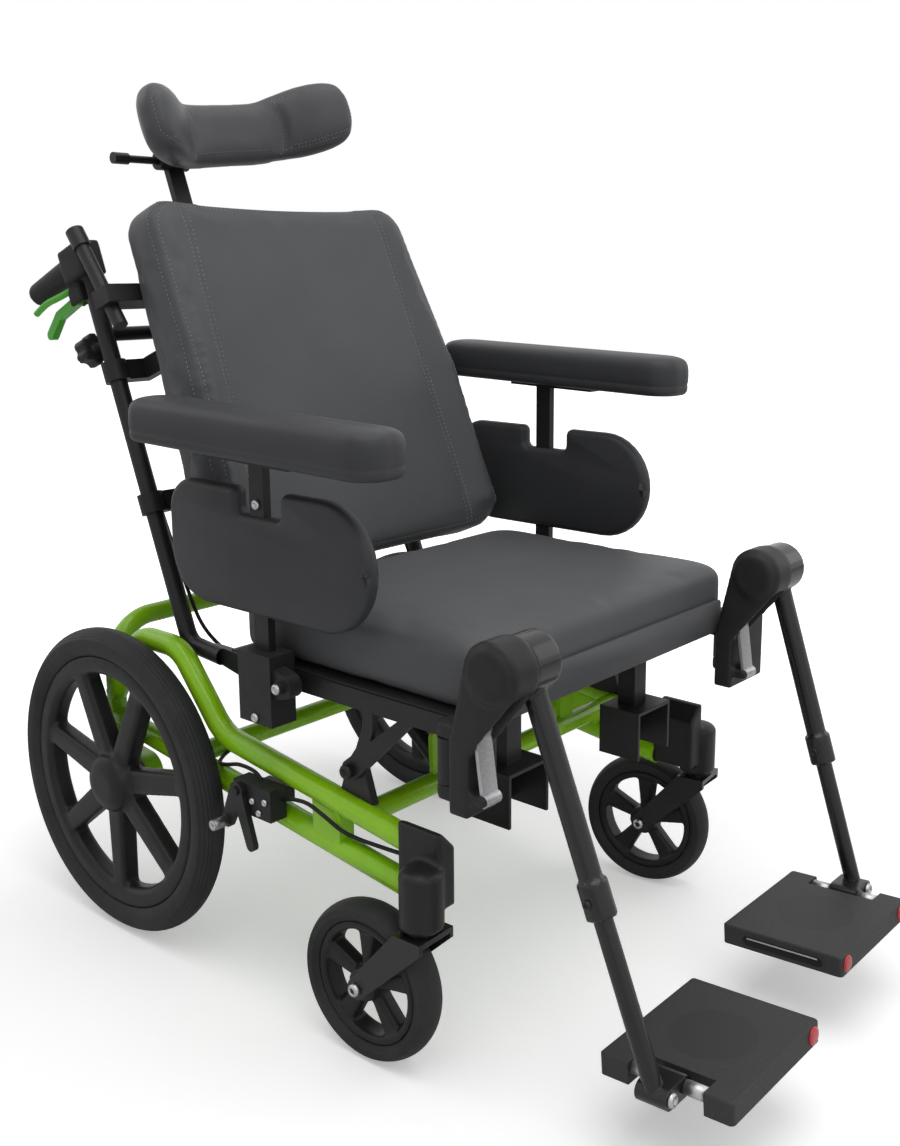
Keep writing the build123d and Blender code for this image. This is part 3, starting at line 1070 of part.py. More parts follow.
with BuildPart() as headrest_bracket:
    for end in (-1, 1):
        ear_x = (HEAD_X + end * (reach + RUN_GAP), HEAD_X + end * (reach + RUN_GAP + 6))
        web(ear_x, knuckle[1:], KNUCKLE_R, (HEADREST_AT[1] + 22, HEADREST_AT[2]), KNUCKLE_R + 4)
    block((HEAD_X - reach - 6, HEAD_X + reach + 6), (HEADREST_AT[1] + 18, HEADREST_AT[1] + 32),
          (HEADREST_AT[2] - 18, HEADREST_AT[2] + 20))
    bar((HEAD_X - 2 * reach, *knuckle[1:]), (HEAD_X + 2 * reach, *knuckle[1:]), 5 + RUN_GAP, mode=Mode.SUBTRACT)
    bar((HEAD_X - reach - RUN_GAP, *knuckle[1:]), (HEAD_X + reach + RUN_GAP, *knuckle[1:]), KNUCKLE_R + 2, mode=Mode.SUBTRACT)
    add(headrest_pad.part, mode=Mode.SUBTRACT)
save(headrest_bracket, "headrest_bracket")


def leg_at(label, x, distance):
    """Point on one leg's line this far below its knee hub."""
    lean = radians(LEG_LEAN[label])
    return (x, HUB_Y - distance * sin(lean), HUB_Z - distance * cos(lean))


# Legrests: swing-away hanger, latch lever, elevating leg in two tubes, flip-up footplate
for label, side in SIDES.items():
    arm_x = (ARM_CENTRE_X[label] - ARM_WIDTH / 2, ARM_CENTRE_X[label] + ARM_WIDTH / 2)
    post = (side * HANGER_POST_X, HANGER_POST_Y)
    lug_low = (RECEIVER_Z[0] - RUN_GAP - HANGER_LUG, RECEIVER_Z[0] - RUN_GAP)
    lug_high = (RECEIVER_Z[1] + RUN_GAP, RECEIVER_Z[1] + RUN_GAP + HANGER_LUG)
    column_x = (min(arm_x[0], post[0] - HANGER_LUG_R), max(arm_x[1], post[0] + HANGER_LUG_R))
    with BuildPart() as legrest_hanger:
        block(column_x, COLUMN_Y, (lug_low[0], lug_high[1]))
        for lug_z in (lug_low, lug_high):
            block((post[0] - HANGER_LUG_R, post[0] + HANGER_LUG_R), (COLUMN_Y[1] - 2, HANGER_POST_Y), lug_z)
            bar((*post, lug_z[0]), (*post, lug_z[1]), HANGER_LUG_R)
        bar((*post, lug_low[0]), (*post, lug_high[1]), HANGER_PIN_R)
        half = (COLUMN_Y[1] - COLUMN_Y[0]) / 2
        web(arm_x, (HUB_Y, HUB_Z), ARM_HUB_R, (COLUMN_Y[0] + half, lug_high[1] - half), half)
        bar((arm_x[0] - 6, HUB_Y, HUB_Z), (arm_x[0], HUB_Y, HUB_Z), 0.8 * ARM_HUB_R)
        bar((arm_x[1], HUB_Y, HUB_Z), (arm_x[1] + RING_WIDTH - RING_CAP, HUB_Y, HUB_Z), HUB_PIN_R)
        latch_x = (ARM_CENTRE_X[label] - LATCH_WIDTH / 2, ARM_CENTRE_X[label] + LATCH_WIDTH / 2)
        with BuildSketch(side_plane(latch_x[0] - 2 * RUN_GAP)) as slot:
            with BuildLine():
                Polyline(*[(LATCH_PIVOT[0] + y, LATCH_PIVOT[1] + z) for y, z in LATCH_SLOT], close=True)
            make_face()
        extrude(slot.sketch, amount=LATCH_WIDTH + 4 * RUN_GAP, mode=Mode.SUBTRACT)
        for cheek in ((latch_x[0] - RUN_GAP - 4, latch_x[0] - RUN_GAP), (latch_x[1] + RUN_GAP, latch_x[1] + RUN_GAP + 4)):
            web(cheek, LATCH_PIVOT, LATCH_HUB_R, (COLUMN_Y[0] + 6, LATCH_PIVOT[1]), LATCH_HUB_R)
        bar((latch_x[0] - 4, *LATCH_PIVOT), (latch_x[1] + 4, *LATCH_PIVOT), LATCH_PIN_R)
    save(legrest_hanger, f"legrest_hanger_{label}")
    with BuildPart() as latch_lever:
        line = [(LATCH_PIVOT[0] + y, LATCH_PIVOT[1] + z) for y, z in LATCH_LINE]
        bar((latch_x[0], *LATCH_PIVOT), (latch_x[1], *LATCH_PIVOT), LATCH_HUB_R)
        for first, second in zip(line, line[1:]):
            web(latch_x, first, LATCH_THICK / 2, second, LATCH_THICK / 2)
        bar((latch_x[0], *LATCH_PIVOT), (latch_x[1], *LATCH_PIVOT), LATCH_PIN_R + RUN_GAP, mode=Mode.SUBTRACT)
    save(latch_lever, f"latch_lever_{label}")
    ring_x = (arm_x[1] + RUN_GAP, arm_x[1] + RUN_GAP + RING_WIDTH)
    leg_x = (ring_x[0] + ring_x[1]) / 2
    with BuildPart() as leg_upper:
        bar((ring_x[0], HUB_Y, HUB_Z), (ring_x[1], HUB_Y, HUB_Z), RING_R)
        bar((ring_x[1], HUB_Y, HUB_Z), (ring_x[1] + RING_CAP, HUB_Y, HUB_Z), RING_R - 5)
        bar((ring_x[0] - 1, HUB_Y, HUB_Z), (ring_x[1] - RING_CAP + RUN_GAP, HUB_Y, HUB_Z), HUB_PIN_R + RUN_GAP,
            mode=Mode.SUBTRACT)
        bar(leg_at(label, leg_x, RING_R - 4), leg_at(label, leg_x, LEG_UPPER_END), LEG_TUBE_R)
        bar(leg_at(label, leg_x, LEG_UPPER_END - 8), leg_at(label, leg_x, LEG_UPPER_END + LEG_COLLAR - 8), LEG_COLLAR_R)
        bar(leg_at(label, leg_x, RING_R + 10), leg_at(label, leg_x, LEG_UPPER_END + LEG_COLLAR), LEG_TUBE_R - LEG_TUBE_WALL,
            mode=Mode.SUBTRACT)
    save(leg_upper, f"leg_upper_{label}")
    reach = LEG_LENGTH + LEG_DRAWN[label]
    foot = leg_at(label, leg_x, reach)
    hinge_x = leg_x - side * FOOT_OFFSET
    hinge = Location((hinge_x, foot[1], foot[2]), (-PLATE_TILT, 0, 0))
    hinge_line = Plane(hinge * Location((0, 0, 0), (-90, 0, 0)))
    with BuildPart() as leg_lower:
        inner_r = LEG_TUBE_R - LEG_TUBE_WALL - RUN_GAP
        bar(leg_at(label, leg_x, LEG_INNER_START), foot, inner_r)
        bar(leg_at(label, leg_x, LEG_INNER_START), leg_at(label, leg_x, reach - 30), inner_r - LEG_INNER_WALL,
            mode=Mode.SUBTRACT)
        with BuildSketch(hinge_line) as clamp:
            Circle(FOOT_SLEEVE_R)
            with Locations((side * FOOT_OFFSET, 0)):
                Circle(FOOT_SLEEVE_R)
            make_hull()
            Circle(FOOT_PIN_R + BORE_GAP, mode=Mode.SUBTRACT)
        extrude(clamp.sketch, amount=FOOT_SLEEVE / 2, both=True)
    save(leg_lower, f"leg_lower_{label}")
    with BuildPart() as footplate:
        edges_x = (PLATE_EDGE, PLATE_EDGE - PLATE_WIDTH)
        with BuildSketch(Plane(hinge * Location((0, 0, PLATE_RISE)))) as tread:
            with Locations((side * sum(edges_x) / 2, (PLATE_BEHIND - PLATE_AHEAD) / 2)):
                RectangleRounded(PLATE_WIDTH, PLATE_AHEAD + PLATE_BEHIND, PLATE_CORNER)
        extrude(tread.sketch, amount=-PLATE_THICK)
        chamfer(footplate.faces().sort_by(Axis.Z)[-1].edges(), length=PLATE_BEVEL)
        with BuildSketch(Plane(hinge * Location((0, 0, PLATE_RISE)))) as recess:
            with Locations((side * (2 * PLATE_EDGE - RECESS_DEPTH) / 2, 0)):
                Rectangle(2 * PLATE_EDGE + RECESS_DEPTH, RECESS_LENGTH)
        extrude(recess.sketch, amount=-PLATE_THICK, mode=Mode.SUBTRACT)
        with BuildSketch(hinge_line) as pin:
            Circle(FOOT_PIN_R)
        extrude(pin.sketch, amount=RECESS_LENGTH / 2 + FOOT_PIN_R, both=True)
    save(footplate, f"footplate_{label}")
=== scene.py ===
import bpy
import bmesh
import json
import math
from mathutils import Matrix, Vector
from mathutils.bvhtree import BVHTree
from mathutils.kdtree import KDTree


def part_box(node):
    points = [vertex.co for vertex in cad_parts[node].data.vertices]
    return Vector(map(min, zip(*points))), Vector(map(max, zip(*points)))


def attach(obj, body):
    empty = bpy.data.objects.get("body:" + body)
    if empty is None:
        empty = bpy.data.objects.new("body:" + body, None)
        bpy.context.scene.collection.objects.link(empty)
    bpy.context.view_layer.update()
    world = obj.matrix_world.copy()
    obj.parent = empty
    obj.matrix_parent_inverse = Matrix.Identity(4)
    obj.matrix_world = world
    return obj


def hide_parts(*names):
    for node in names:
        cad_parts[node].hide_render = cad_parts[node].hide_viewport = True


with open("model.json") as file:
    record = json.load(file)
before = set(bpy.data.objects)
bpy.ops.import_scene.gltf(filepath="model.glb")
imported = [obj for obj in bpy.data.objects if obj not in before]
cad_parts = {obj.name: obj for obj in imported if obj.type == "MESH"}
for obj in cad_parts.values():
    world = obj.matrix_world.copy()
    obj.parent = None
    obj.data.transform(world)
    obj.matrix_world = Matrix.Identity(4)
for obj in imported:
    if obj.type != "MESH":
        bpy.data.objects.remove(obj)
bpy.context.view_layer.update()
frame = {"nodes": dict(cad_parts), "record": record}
nodes = frame["nodes"]
scene = bpy.context.scene

# Places taken from the part's own sizes, in metres
AXLE_Y = 0.31914
SIDES = {"right": -1, "left": 1}
ARM_BACK = {"right": 0.0, "left": 0.020}
ARM_LIFT = {"right": 0.0, "left": 0.038}
PANEL_LIFT = {"right": 0.0, "left": 0.015}
LEG_X = {"right": -0.2457, "left": 0.2543}
LEG_LEAN = {"right": math.radians(22), "left": math.radians(18)}
LEG_REACH = {"right": 0.420, "left": 0.408}
HUB = (0.640, 0.480)
LEAN = math.radians(21)
RECLINE = (AXLE_Y - 0.175, 0.372)
BACK_LOW, BACK_HIGH = 0.094, 0.584
SEAT_BASE = 0.4075
ARM_PAD_X = 0.280
PANEL_X = 0.268
REAR_WHEEL_X = 0.2825
REAR_WHEEL_R = 0.2
HINGE_INSET = 0.026
PLATE_TILT = math.radians(-4)
PLATE_RISE = 0.008
PLATE_AHEAD = 0.073
PLATE_INNER = 0.165
CABLE_R = 0.0024


def ahead(distance):
    """Y of a station that lies this far ahead of the rear axle."""
    return AXLE_Y - distance


def back_at(x, u, v):
    """Point of the leaning back: u up along it, v rearward from it."""
    y = RECLINE[0] + u * math.sin(LEAN) + v * math.cos(LEAN)
    z = RECLINE[1] + u * math.cos(LEAN) - v * math.sin(LEAN)
    return Vector((x, y, z))


def leg_at(label, distance):
    """Point on one leg's line this far below its knee hub."""
    lean = LEG_LEAN[label]
    y = ahead(HUB[0]) - distance * math.sin(lean)
    return Vector((LEG_X[label], y, HUB[1] - distance * math.cos(lean)))


def hinge_frame(label):
    """Frame of a footplate's hinge bar, tipped up a little at the toe."""
    foot = leg_at(label, LEG_REACH[label])
    foot.x -= SIDES[label] * HINGE_INSET
    return Matrix.Translation(foot) @ Matrix.Rotation(PLATE_TILT, 4, "X")


# Materials: every one is a node tree on the object's own coordinates

class Shader:
    """A Principled material with the few texture chains the chair needs."""

    def __init__(self, name, roughness, metallic=0.0, coat=0.0, coat_roughness=0.1, sheen=0.0,
                 specular=0.5):
        self.material = bpy.data.materials.new(name)
        self.material.use_nodes = True
        self.tree = self.material.node_tree
        self.main = self.tree.nodes["Principled BSDF"]
        self.main.inputs["Roughness"].default_value = roughness
        self.main.inputs["Metallic"].default_value = metallic
        self.main.inputs["Coat Weight"].default_value = coat
        self.main.inputs["Coat Roughness"].default_value = coat_roughness
        self.main.inputs["Sheen Weight"].default_value = sheen
        self.main.inputs["Specular IOR Level"].default_value = specular
        self.place = self.tree.nodes.new("ShaderNodeTexCoord")
        self.normal = None

    def noise(self, scale, detail=3.0, rough=0.55, stretch=None):
        node = self.tree.nodes.new("ShaderNodeTexNoise")
        node.inputs["Scale"].default_value = scale
        node.inputs["Detail"].default_value = detail
        node.inputs["Roughness"].default_value = rough
        source = self.place.outputs["Object"]
        if stretch:
            mapping = self.tree.nodes.new("ShaderNodeMapping")
            mapping.inputs["Scale"].default_value = stretch
            self.tree.links.new(source, mapping.inputs["Vector"])
            source = mapping.outputs["Vector"]
        self.tree.links.new(source, node.inputs["Vector"])
        return node.outputs["Fac"]

    def cells(self, scale):
        node = self.tree.nodes.new("ShaderNodeTexVoronoi")
        node.inputs["Scale"].default_value = scale
        self.tree.links.new(self.place.outputs["Object"], node.inputs["Vector"])
        return node.outputs["Distance"]

    def ramp(self, source, stops):
        node = self.tree.nodes.new("ShaderNodeValToRGB")
        while len(node.color_ramp.elements) < len(stops):
            node.color_ramp.elements.new(0.5)
        for element, (at, color) in zip(node.color_ramp.elements, stops):
            element.position = at
            element.color = (*color, 1)
        self.tree.links.new(source, node.inputs["Fac"])
        return node.outputs["Color"]

    def mix(self, factor, first, second):
        node = self.tree.nodes.new("ShaderNodeMix")
        node.data_type = "RGBA"
        self.tree.links.new(factor, node.inputs["Factor"])
        for value, socket in ((first, node.inputs["A"]), (second, node.inputs["B"])):
            if isinstance(value, tuple):
                socket.default_value = (*value, 1)
            else:
                self.tree.links.new(value, socket)
        return node.outputs["Result"]

    def span(self, source, low, high, reach=1.0):
        node = self.tree.nodes.new("ShaderNodeMapRange")
        node.inputs["From Max"].default_value = reach
        node.inputs["To Min"].default_value = low
        node.inputs["To Max"].default_value = high
        self.tree.links.new(source, node.inputs["Value"])
        return node.outputs["Result"]

    def distance(self, point):
        node = self.tree.nodes.new("ShaderNodeVectorMath")
        node.operation = "DISTANCE"
        node.inputs[1].default_value = point
        self.tree.links.new(self.place.outputs["Object"], node.inputs[0])
        return node.outputs["Value"]

    def color(self, source):
        self.tree.links.new(source, self.main.inputs["Base Color"])

    def roughness(self, source):
        self.tree.links.new(source, self.main.inputs["Roughness"])

    def rounded(self, radius):
        """Softens sharp edges in the shading and returns a mask of them."""
        node = self.tree.nodes.new("ShaderNodeBevel")
        node.samples = 4
        node.inputs["Radius"].default_value = radius
        self.normal = node.outputs["Normal"]
        self.tree.links.new(self.normal, self.main.inputs["Normal"])
        geometry = self.tree.nodes.new("ShaderNodeNewGeometry")
        dot = self.tree.nodes.new("ShaderNodeVectorMath")
        dot.operation = "DOT_PRODUCT"
        self.tree.links.new(self.normal, dot.inputs[0])
        self.tree.links.new(geometry.outputs["Normal"], dot.inputs[1])
        return dot.outputs["Value"]

    def bump(self, source, strength, distance):
        node = self.tree.nodes.new("ShaderNodeBump")
        node.inputs["Strength"].default_value = strength
        node.inputs["Distance"].default_value = distance
        self.tree.links.new(source, node.inputs["Height"])
        if self.normal:
            self.tree.links.new(self.normal, node.inputs["Normal"])
        self.normal = node.outputs["Normal"]
        self.tree.links.new(self.normal, self.main.inputs["Normal"])


def painted(name, dark, light, chip, roughness, coat, wear):
    """Painted tube: soft colour drift, fine orange peel, scuffs on edges and in patches."""
    shader = Shader(name, roughness, coat=coat, coat_roughness=0.12, specular=0.25)
    drift = shader.ramp(shader.noise(9, 3), [(0.3, dark), (0.7, light)])
    edge = shader.rounded(0.0012)
    edge_mask = shader.ramp(edge, [(0.72, (1, 1, 1)), (0.93, (0, 0, 0))])
    patch = shader.ramp(shader.noise(70, 6, 0.7), [(0.62, (0, 0, 0)), (0.66, (wear, wear, wear))])
    worn = shader.mix(edge_mask, (0.0, 0.0, 0.0), patch)
    scuff = shader.ramp(shader.noise(26, 8, 0.75, (1, 0.35, 1)),
                        [(0.69, (0, 0, 0)), (0.73, (wear, wear, wear))])
    first = shader.mix(worn, drift, chip)
    shader.color(shader.mix(scuff, first, chip))
    shader.roughness(shader.span(shader.noise(34, 4), roughness - 0.08, roughness + 0.14))
    shader.bump(shader.noise(900, 2), 0.05, 0.0003)
    return shader.material


def moulded(name, dark, light, roughness, grain, specular=0.2):
    """Moulded plastic or rubber: fine grain, cloudy dust and softened edges."""
    shader = Shader(name, roughness, specular=specular)
    dust = shader.noise(14, 5, 0.65)
    shader.color(shader.ramp(dust, [(0.32, dark), (0.72, light)]))
    shader.roughness(shader.span(shader.noise(45, 4), roughness - 0.1, roughness + 0.12))
    shader.rounded(0.0011)
    shader.bump(shader.noise(1500, 3), grain, 0.0003)
    return shader.material


def upholstery(name, dark, light, roughness, grain, scale, sheen):
    """Coated upholstery cloth: pebbled grain, faint weave and broad tonal drift."""
    shader = Shader(name, roughness, sheen=sheen, specular=0.2)
    drift = shader.noise(6, 4, 0.6)
    speck = shader.cells(scale)
    tone = shader.ramp(drift, [(0.28, dark), (0.74, light)])
    fleck = shader.ramp(speck, [(0.0, (0.78, 0.78, 0.78)), (0.5, (1, 1, 1))])
    node = shader.tree.nodes.new("ShaderNodeMix")
    node.data_type = "RGBA"
    node.blend_type = "MULTIPLY"
    node.inputs["Factor"].default_value = 0.55
    shader.tree.links.new(tone, node.inputs["A"])
    shader.tree.links.new(fleck, node.inputs["B"])
    shader.color(node.outputs["Result"])
    shader.roughness(shader.span(shader.noise(30, 5), roughness - 0.07, roughness + 0.1))
    shader.bump(shader.noise(18, 3, 0.5), 0.10, 0.002)
    shader.bump(speck, grain, 0.0004)
    return shader.material


def metal(name, dark, light, roughness, stretch):
    """Plated or drawn metal with fine brushing."""
    shader = Shader(name, roughness, metallic=1.0)
    lines = shader.noise(160, 4, 0.6, stretch)
    shader.color(shader.ramp(lines, [(0.3, dark), (0.7, light)]))
    shader.roughness(shader.span(lines, roughness - 0.08, roughness + 0.12))
    shader.rounded(0.0007)
    shader.bump(lines, 0.06, 0.0002)
    return shader.material


GREEN = painted("lime_paint", (0.26, 0.58, 0.006), (0.33, 0.67, 0.010),
                (0.36, 0.40, 0.20), 0.26, 0.35, 0.35)
BLACK = painted("black_paint", (0.011, 0.011, 0.012), (0.019, 0.019, 0.020),
                (0.12, 0.12, 0.12), 0.40, 0.05, 0.26)
WORN = painted("worn_black", (0.010, 0.010, 0.011), (0.018, 0.018, 0.019),
               (0.30, 0.27, 0.24), 0.42, 0.05, 0.95)
GLOSS = painted("gloss_black", (0.009, 0.009, 0.010), (0.014, 0.014, 0.015),
                (0.06, 0.06, 0.06), 0.22, 0.30, 0.10)
PLASTIC = moulded("black_plastic", (0.016, 0.016, 0.017), (0.025, 0.025, 0.026), 0.44, 0.10)
RIM = moulded("rim_plastic", (0.013, 0.013, 0.014), (0.021, 0.021, 0.022), 0.38, 0.07)
TYRE = moulded("tyre_rubber", (0.019, 0.019, 0.020), (0.033, 0.033, 0.034), 0.60, 0.16)
GRIP = moulded("grip_rubber", (0.015, 0.015, 0.015), (0.024, 0.024, 0.024), 0.60, 0.30)
LEVER = moulded("lever_green", (0.05, 0.36, 0.012), (0.08, 0.47, 0.020), 0.34, 0.05, 0.4)
COVER = upholstery("seat_cover", (0.075, 0.077, 0.081), (0.093, 0.095, 0.100), 0.50, 0.20, 1100, 0.02)
BACK_COVER = upholstery("back_cover", (0.068, 0.070, 0.076), (0.084, 0.086, 0.093), 0.50, 0.20, 1100, 0.02)
SKIN = upholstery("pad_skin", (0.038, 0.039, 0.042), (0.051, 0.052, 0.056), 0.44, 0.12, 900, 0.0)
LEATHER = upholstery("head_skin", (0.062, 0.063, 0.067), (0.082, 0.083, 0.089), 0.40, 0.12, 800, 0.0)
STEEL = metal("bright_steel", (0.36, 0.36, 0.37), (0.52, 0.52, 0.53), 0.34, (1, 1, 8))
ALUMINIUM = metal("aluminium", (0.40, 0.40, 0.41), (0.54, 0.54, 0.55), 0.42, (1, 8, 1))
THREAD = moulded("thread", (0.28, 0.28, 0.29), (0.42, 0.42, 0.43), 0.7, 0.3)
REFLECTOR = moulded("red_reflector", (0.42, 0.006, 0.010), (0.60, 0.012, 0.018), 0.18, 0.02, 0.6)
# Cable sheath colour, which is also the painted shade of the footplates' finger slots
SHEATH_AND_SLOT_SHADE = moulded("cable_sheath_and_slot_shade", (0.008, 0.008, 0.008), (0.014, 0.014, 0.014), 0.45, 0.05)


def grit_material(label):
    """Footplate: coarse anti-slip grit with a smoother round field in the middle of the tread."""
    shader = Shader(f"footplate_grit_{label}", 0.6)
    middle = hinge_frame(label) @ Vector((-SIDES[label] * 0.080, 0, PLATE_RISE))
    field = shader.ramp(shader.distance(middle), [(0.043, (1, 1, 1)), (0.046, (0, 0, 0))])
    grain = shader.ramp(shader.noise(420, 4, 0.7),
                        [(0.3, (0.008, 0.008, 0.008)), (0.75, (0.024, 0.024, 0.025))])
    shader.color(shader.mix(field, grain, (0.011, 0.011, 0.012)))
    shader.rounded(0.0012)
    shader.bump(shader.mix(field, shader.noise(330, 5, 0.75), (0.5, 0.5, 0.5)), 0.5, 0.0012)
    return shader.material


NODE_MATERIALS = {
    "green_paint": GREEN, "black_paint": BLACK, "black_plastic": PLASTIC, "rim_plastic": RIM,
    "tyre_rubber": TYRE, "steel": STEEL, "cushion_cover": COVER, "pad_cover": SKIN,
    "grip_rubber": GRIP, "green_lever": LEVER,
}
slot_of = {entry["node"]: entry["material_slot"] for entry in frame["record"]["subparts"]}
body_of = {node: body for body, names in frame["record"]["behaviour"]["bodies"].items() for node in names}
for name, thing in nodes.items():
    thing.data.materials.clear()
    thing.data.materials.append(NODE_MATERIALS[slot_of[name]])
for name in SIDES:
    nodes[f"caster_fork_{name}"].data.materials[0] = GLOSS
    nodes[f"leg_upper_{name}"].data.materials[0] = GLOSS
    nodes[f"leg_lower_{name}"].data.materials[0] = GLOSS
    nodes[f"footplate_{name}"].data.materials[0] = grit_material(name)


# Mesh helpers

def new_object(name, verts, faces, material):
    """Smooth-shaded mesh object with its faces turned outwards."""
    mesh = bpy.data.meshes.new(name)
    mesh.from_pydata([tuple(v) for v in verts], [], faces)
    mesh.update()
    made = bpy.data.objects.new(name, mesh)
    scene.collection.objects.link(made)
    mesh.materials.append(material)
    mesh.polygons.foreach_set("use_smooth", [True] * len(mesh.polygons))
    fix = bmesh.new()
    fix.from_mesh(mesh)
    bmesh.ops.recalc_face_normals(fix, faces=fix.faces)
    fix.to_mesh(mesh)
    fix.free()
    return made


def place(piece, body, replaced=()):
    """Fixes a piece to a body and hides the CAD nodes that it stands for."""
    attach(piece, body)
    if replaced:
        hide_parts(*replaced)
    return piece


def ring_mesh(name, rings, material):
    """Skin over closed rings of equal counts, with both ends capped."""
    count = len(rings[0])
    verts = [p for ring in rings for p in ring]
    faces = []
    for r in range(len(rings) - 1):
        for i in range(count):
            j = (i + 1) % count
            faces.append((r * count + i, r * count + j, (r + 1) * count + j, (r + 1) * count + i))
    faces.append(tuple(reversed(range(count))))
    last = (len(rings) - 1) * count
    faces.append(tuple(range(last, last + count)))
    return new_object(name, verts, faces, material)


def rounded_polygon(corners, radii, arc=8, run=10):
    """Points round a polygon whose corners are rounded, the same count for any size."""
    points = []
    count = len(corners)
    for i in range(count):
        a, b, c = (Vector(corners[(i + k - 1) % count]) for k in range(3))
        before, after = (a - b).normalized(), (c - b).normalized()
        half = before.angle(after) / 2
        reach = radii[i] / math.tan(half)
        start, end = b + before * reach, b + after * reach
        middle = b + (before + after).normalized() * (radii[i] / math.sin(half))
        first = start - middle
        turn = math.atan2(first.cross(end - middle), first.dot(end - middle))
        for k in range(arc + 1):
            angle = turn * k / arc
            cosine, sine = math.cos(angle), math.sin(angle)
            points.append(middle + Vector((first.x * cosine - first.y * sine,
                                           first.x * sine + first.y * cosine)))
        next_b = Vector(corners[(i + 1) % count])
        next_c = Vector(corners[(i + 2) % count])
        next_half = (b - next_b).normalized().angle((next_c - next_b).normalized()) / 2
        stop = next_b + (b - next_b).normalized() * (radii[(i + 1) % count] / math.tan(next_half))
        for k in range(1, run):
            points.append(end.lerp(stop, k / run))
    return points


def shrink(points, share):
    """The same points drawn towards their middle."""
    middle = sum(points, Vector((0, 0))) / len(points)
    return [middle + (p - middle) * share for p in points]


def between(a, b, c, d, f):
    """Point on the smooth curve through four values, the share f of the way from b to c."""
    return 0.5 * (2 * b + (c - a) * f + (2 * a - 5 * b + 4 * c - d) * f * f
                  + (3 * b - a - 3 * c + d) * f ** 3)


def around(values, k):
    """The four values that rule the curve's run after the k-th one."""
    return (values[max(0, min(len(values) - 1, k + d))] for d in (-1, 0, 1, 2))


def even_out(piece, voxel, steps):
    """Remeshes a piece in even voxels and smooths it."""
    remesh = piece.modifiers.new("voxels", "REMESH")
    remesh.mode = "VOXEL"
    remesh.voxel_size = voxel
    smooth = piece.modifiers.new("smooth", "SMOOTH")
    smooth.factor = 0.5
    smooth.iterations = steps
    apply_modifiers(piece)


def simulate(piece, voxel, cap, pressure=4.0, frames=20):
    """Swells a closed foam form as filled cloth, keeps each point within the cap, and applies it."""
    bpy.context.view_layer.objects.active = piece
    even_out(piece, voxel, 4)
    rest = [v.co.copy() for v in piece.data.vertices]
    cloth = piece.modifiers.new("cloth", "CLOTH")
    cloth.settings.use_pressure = True
    cloth.settings.uniform_pressure_force = pressure
    cloth.settings.mass = 0.4
    cloth.settings.tension_stiffness = 40
    cloth.settings.compression_stiffness = 40
    cloth.settings.bending_stiffness = 5
    cloth.settings.effector_weights.gravity = 0
    cloth.collision_settings.use_collision = False
    cloth.point_cache.frame_start = 1
    cloth.point_cache.frame_end = frames
    for step in range(1, frames + 1):
        scene.frame_set(step)
    apply_modifiers(piece)
    scene.frame_set(1)
    for vertex, home in zip(piece.data.vertices, rest):
        move = vertex.co - home
        if move.length > cap:
            vertex.co = home + move.normalized() * cap
    piece.data.polygons.foreach_set("use_smooth", [True] * len(piece.data.polygons))
    piece.data.update()


def apply_modifiers(piece):
    """Puts the evaluated mesh in the piece's place, with no modifier left on it."""
    depsgraph = bpy.context.evaluated_depsgraph_get()
    mesh = bpy.data.meshes.new_from_object(piece.evaluated_get(depsgraph))
    old = piece.data
    piece.modifiers.clear()
    piece.data = mesh
    bpy.data.meshes.remove(old)
    mesh.polygons.foreach_set("use_smooth", [True] * len(mesh.polygons))


def subdivide(piece):
    modifier = piece.modifiers.new("fine", "SUBSURF")
    modifier.levels = 1
    modifier.render_levels = 1
    apply_modifiers(piece)


def soften(node, voxel, steps, material=None):
    """A moulded copy of a CAD node with rounded edges, which stands for it."""
    source = nodes[node]
    piece = bpy.data.objects.new(f"{node}_moulded", source.data.copy())
    piece.matrix_world = source.matrix_world.copy()
    scene.collection.objects.link(piece)
    if material:
        piece.data.materials.clear()
        piece.data.materials.append(material)
    even_out(piece, voxel, steps)
    if not piece.data.materials:
        piece.data.materials.append(material or source.data.materials[0])
    return place(piece, body_of[node], [node])


def resample(points, pitch):
    """Points along a line at an even pitch, each with its direction."""
    out = []
    spare = 0.0
    for a, b in zip(points, points[1:]):
        run = (b - a).length
        at = spare
        while at < run:
            out.append((a.lerp(b, at / run), (b - a).normalized()))
            at += pitch
        spare = at - run
    return out


def groove(piece, lines, width, depth):
    """Draws the surface in along sewn lines."""
    samples = [p for line in lines for p, _ in resample(line, width / 3)]
    near = KDTree(len(samples))
    for i, p in enumerate(samples):
        near.insert(p, i)
    near.balance()
    normals = [v.normal.copy() for v in piece.data.vertices]
    for vertex, normal in zip(piece.data.vertices, normals):
        distance = near.find(vertex.co)[2]
        if distance < width:
            vertex.co -= normal * depth * (1 - (distance / width) ** 2) ** 2
    piece.data.update()


def stitches(name, carrier, lines, body, pitch=0.0058, length=0.0040, radius=0.00055, lift=0.0001):
    """Short threads lying on a surface along the lines."""
    surface = BVHTree.FromObject(carrier, bpy.context.evaluated_depsgraph_get())
    verts, faces = [], []
    for line in lines:
        for point, direction in resample(line, pitch):
            found = surface.find_nearest(point)
            if found[0] is None:
                continue
            normal = found[1]
            along = (direction - normal * direction.dot(normal)).normalized()
            across = normal.cross(along)
            middle = found[0] + normal * lift
            base = len(verts)
            verts += [middle - along * length / 2, middle + along * length / 2, middle + across * radius,
                      middle - across * radius, middle + normal * radius, middle - normal * radius]
            faces += [(base + a, base + b, base + c) for a, b, c in (
                (0, 2, 4), (2, 1, 4), (1, 3, 4), (3, 0, 4), (2, 0, 5), (1, 2, 5), (3, 1, 5), (0, 3, 5))]
    place(new_object(name, verts, faces, THREAD), body)


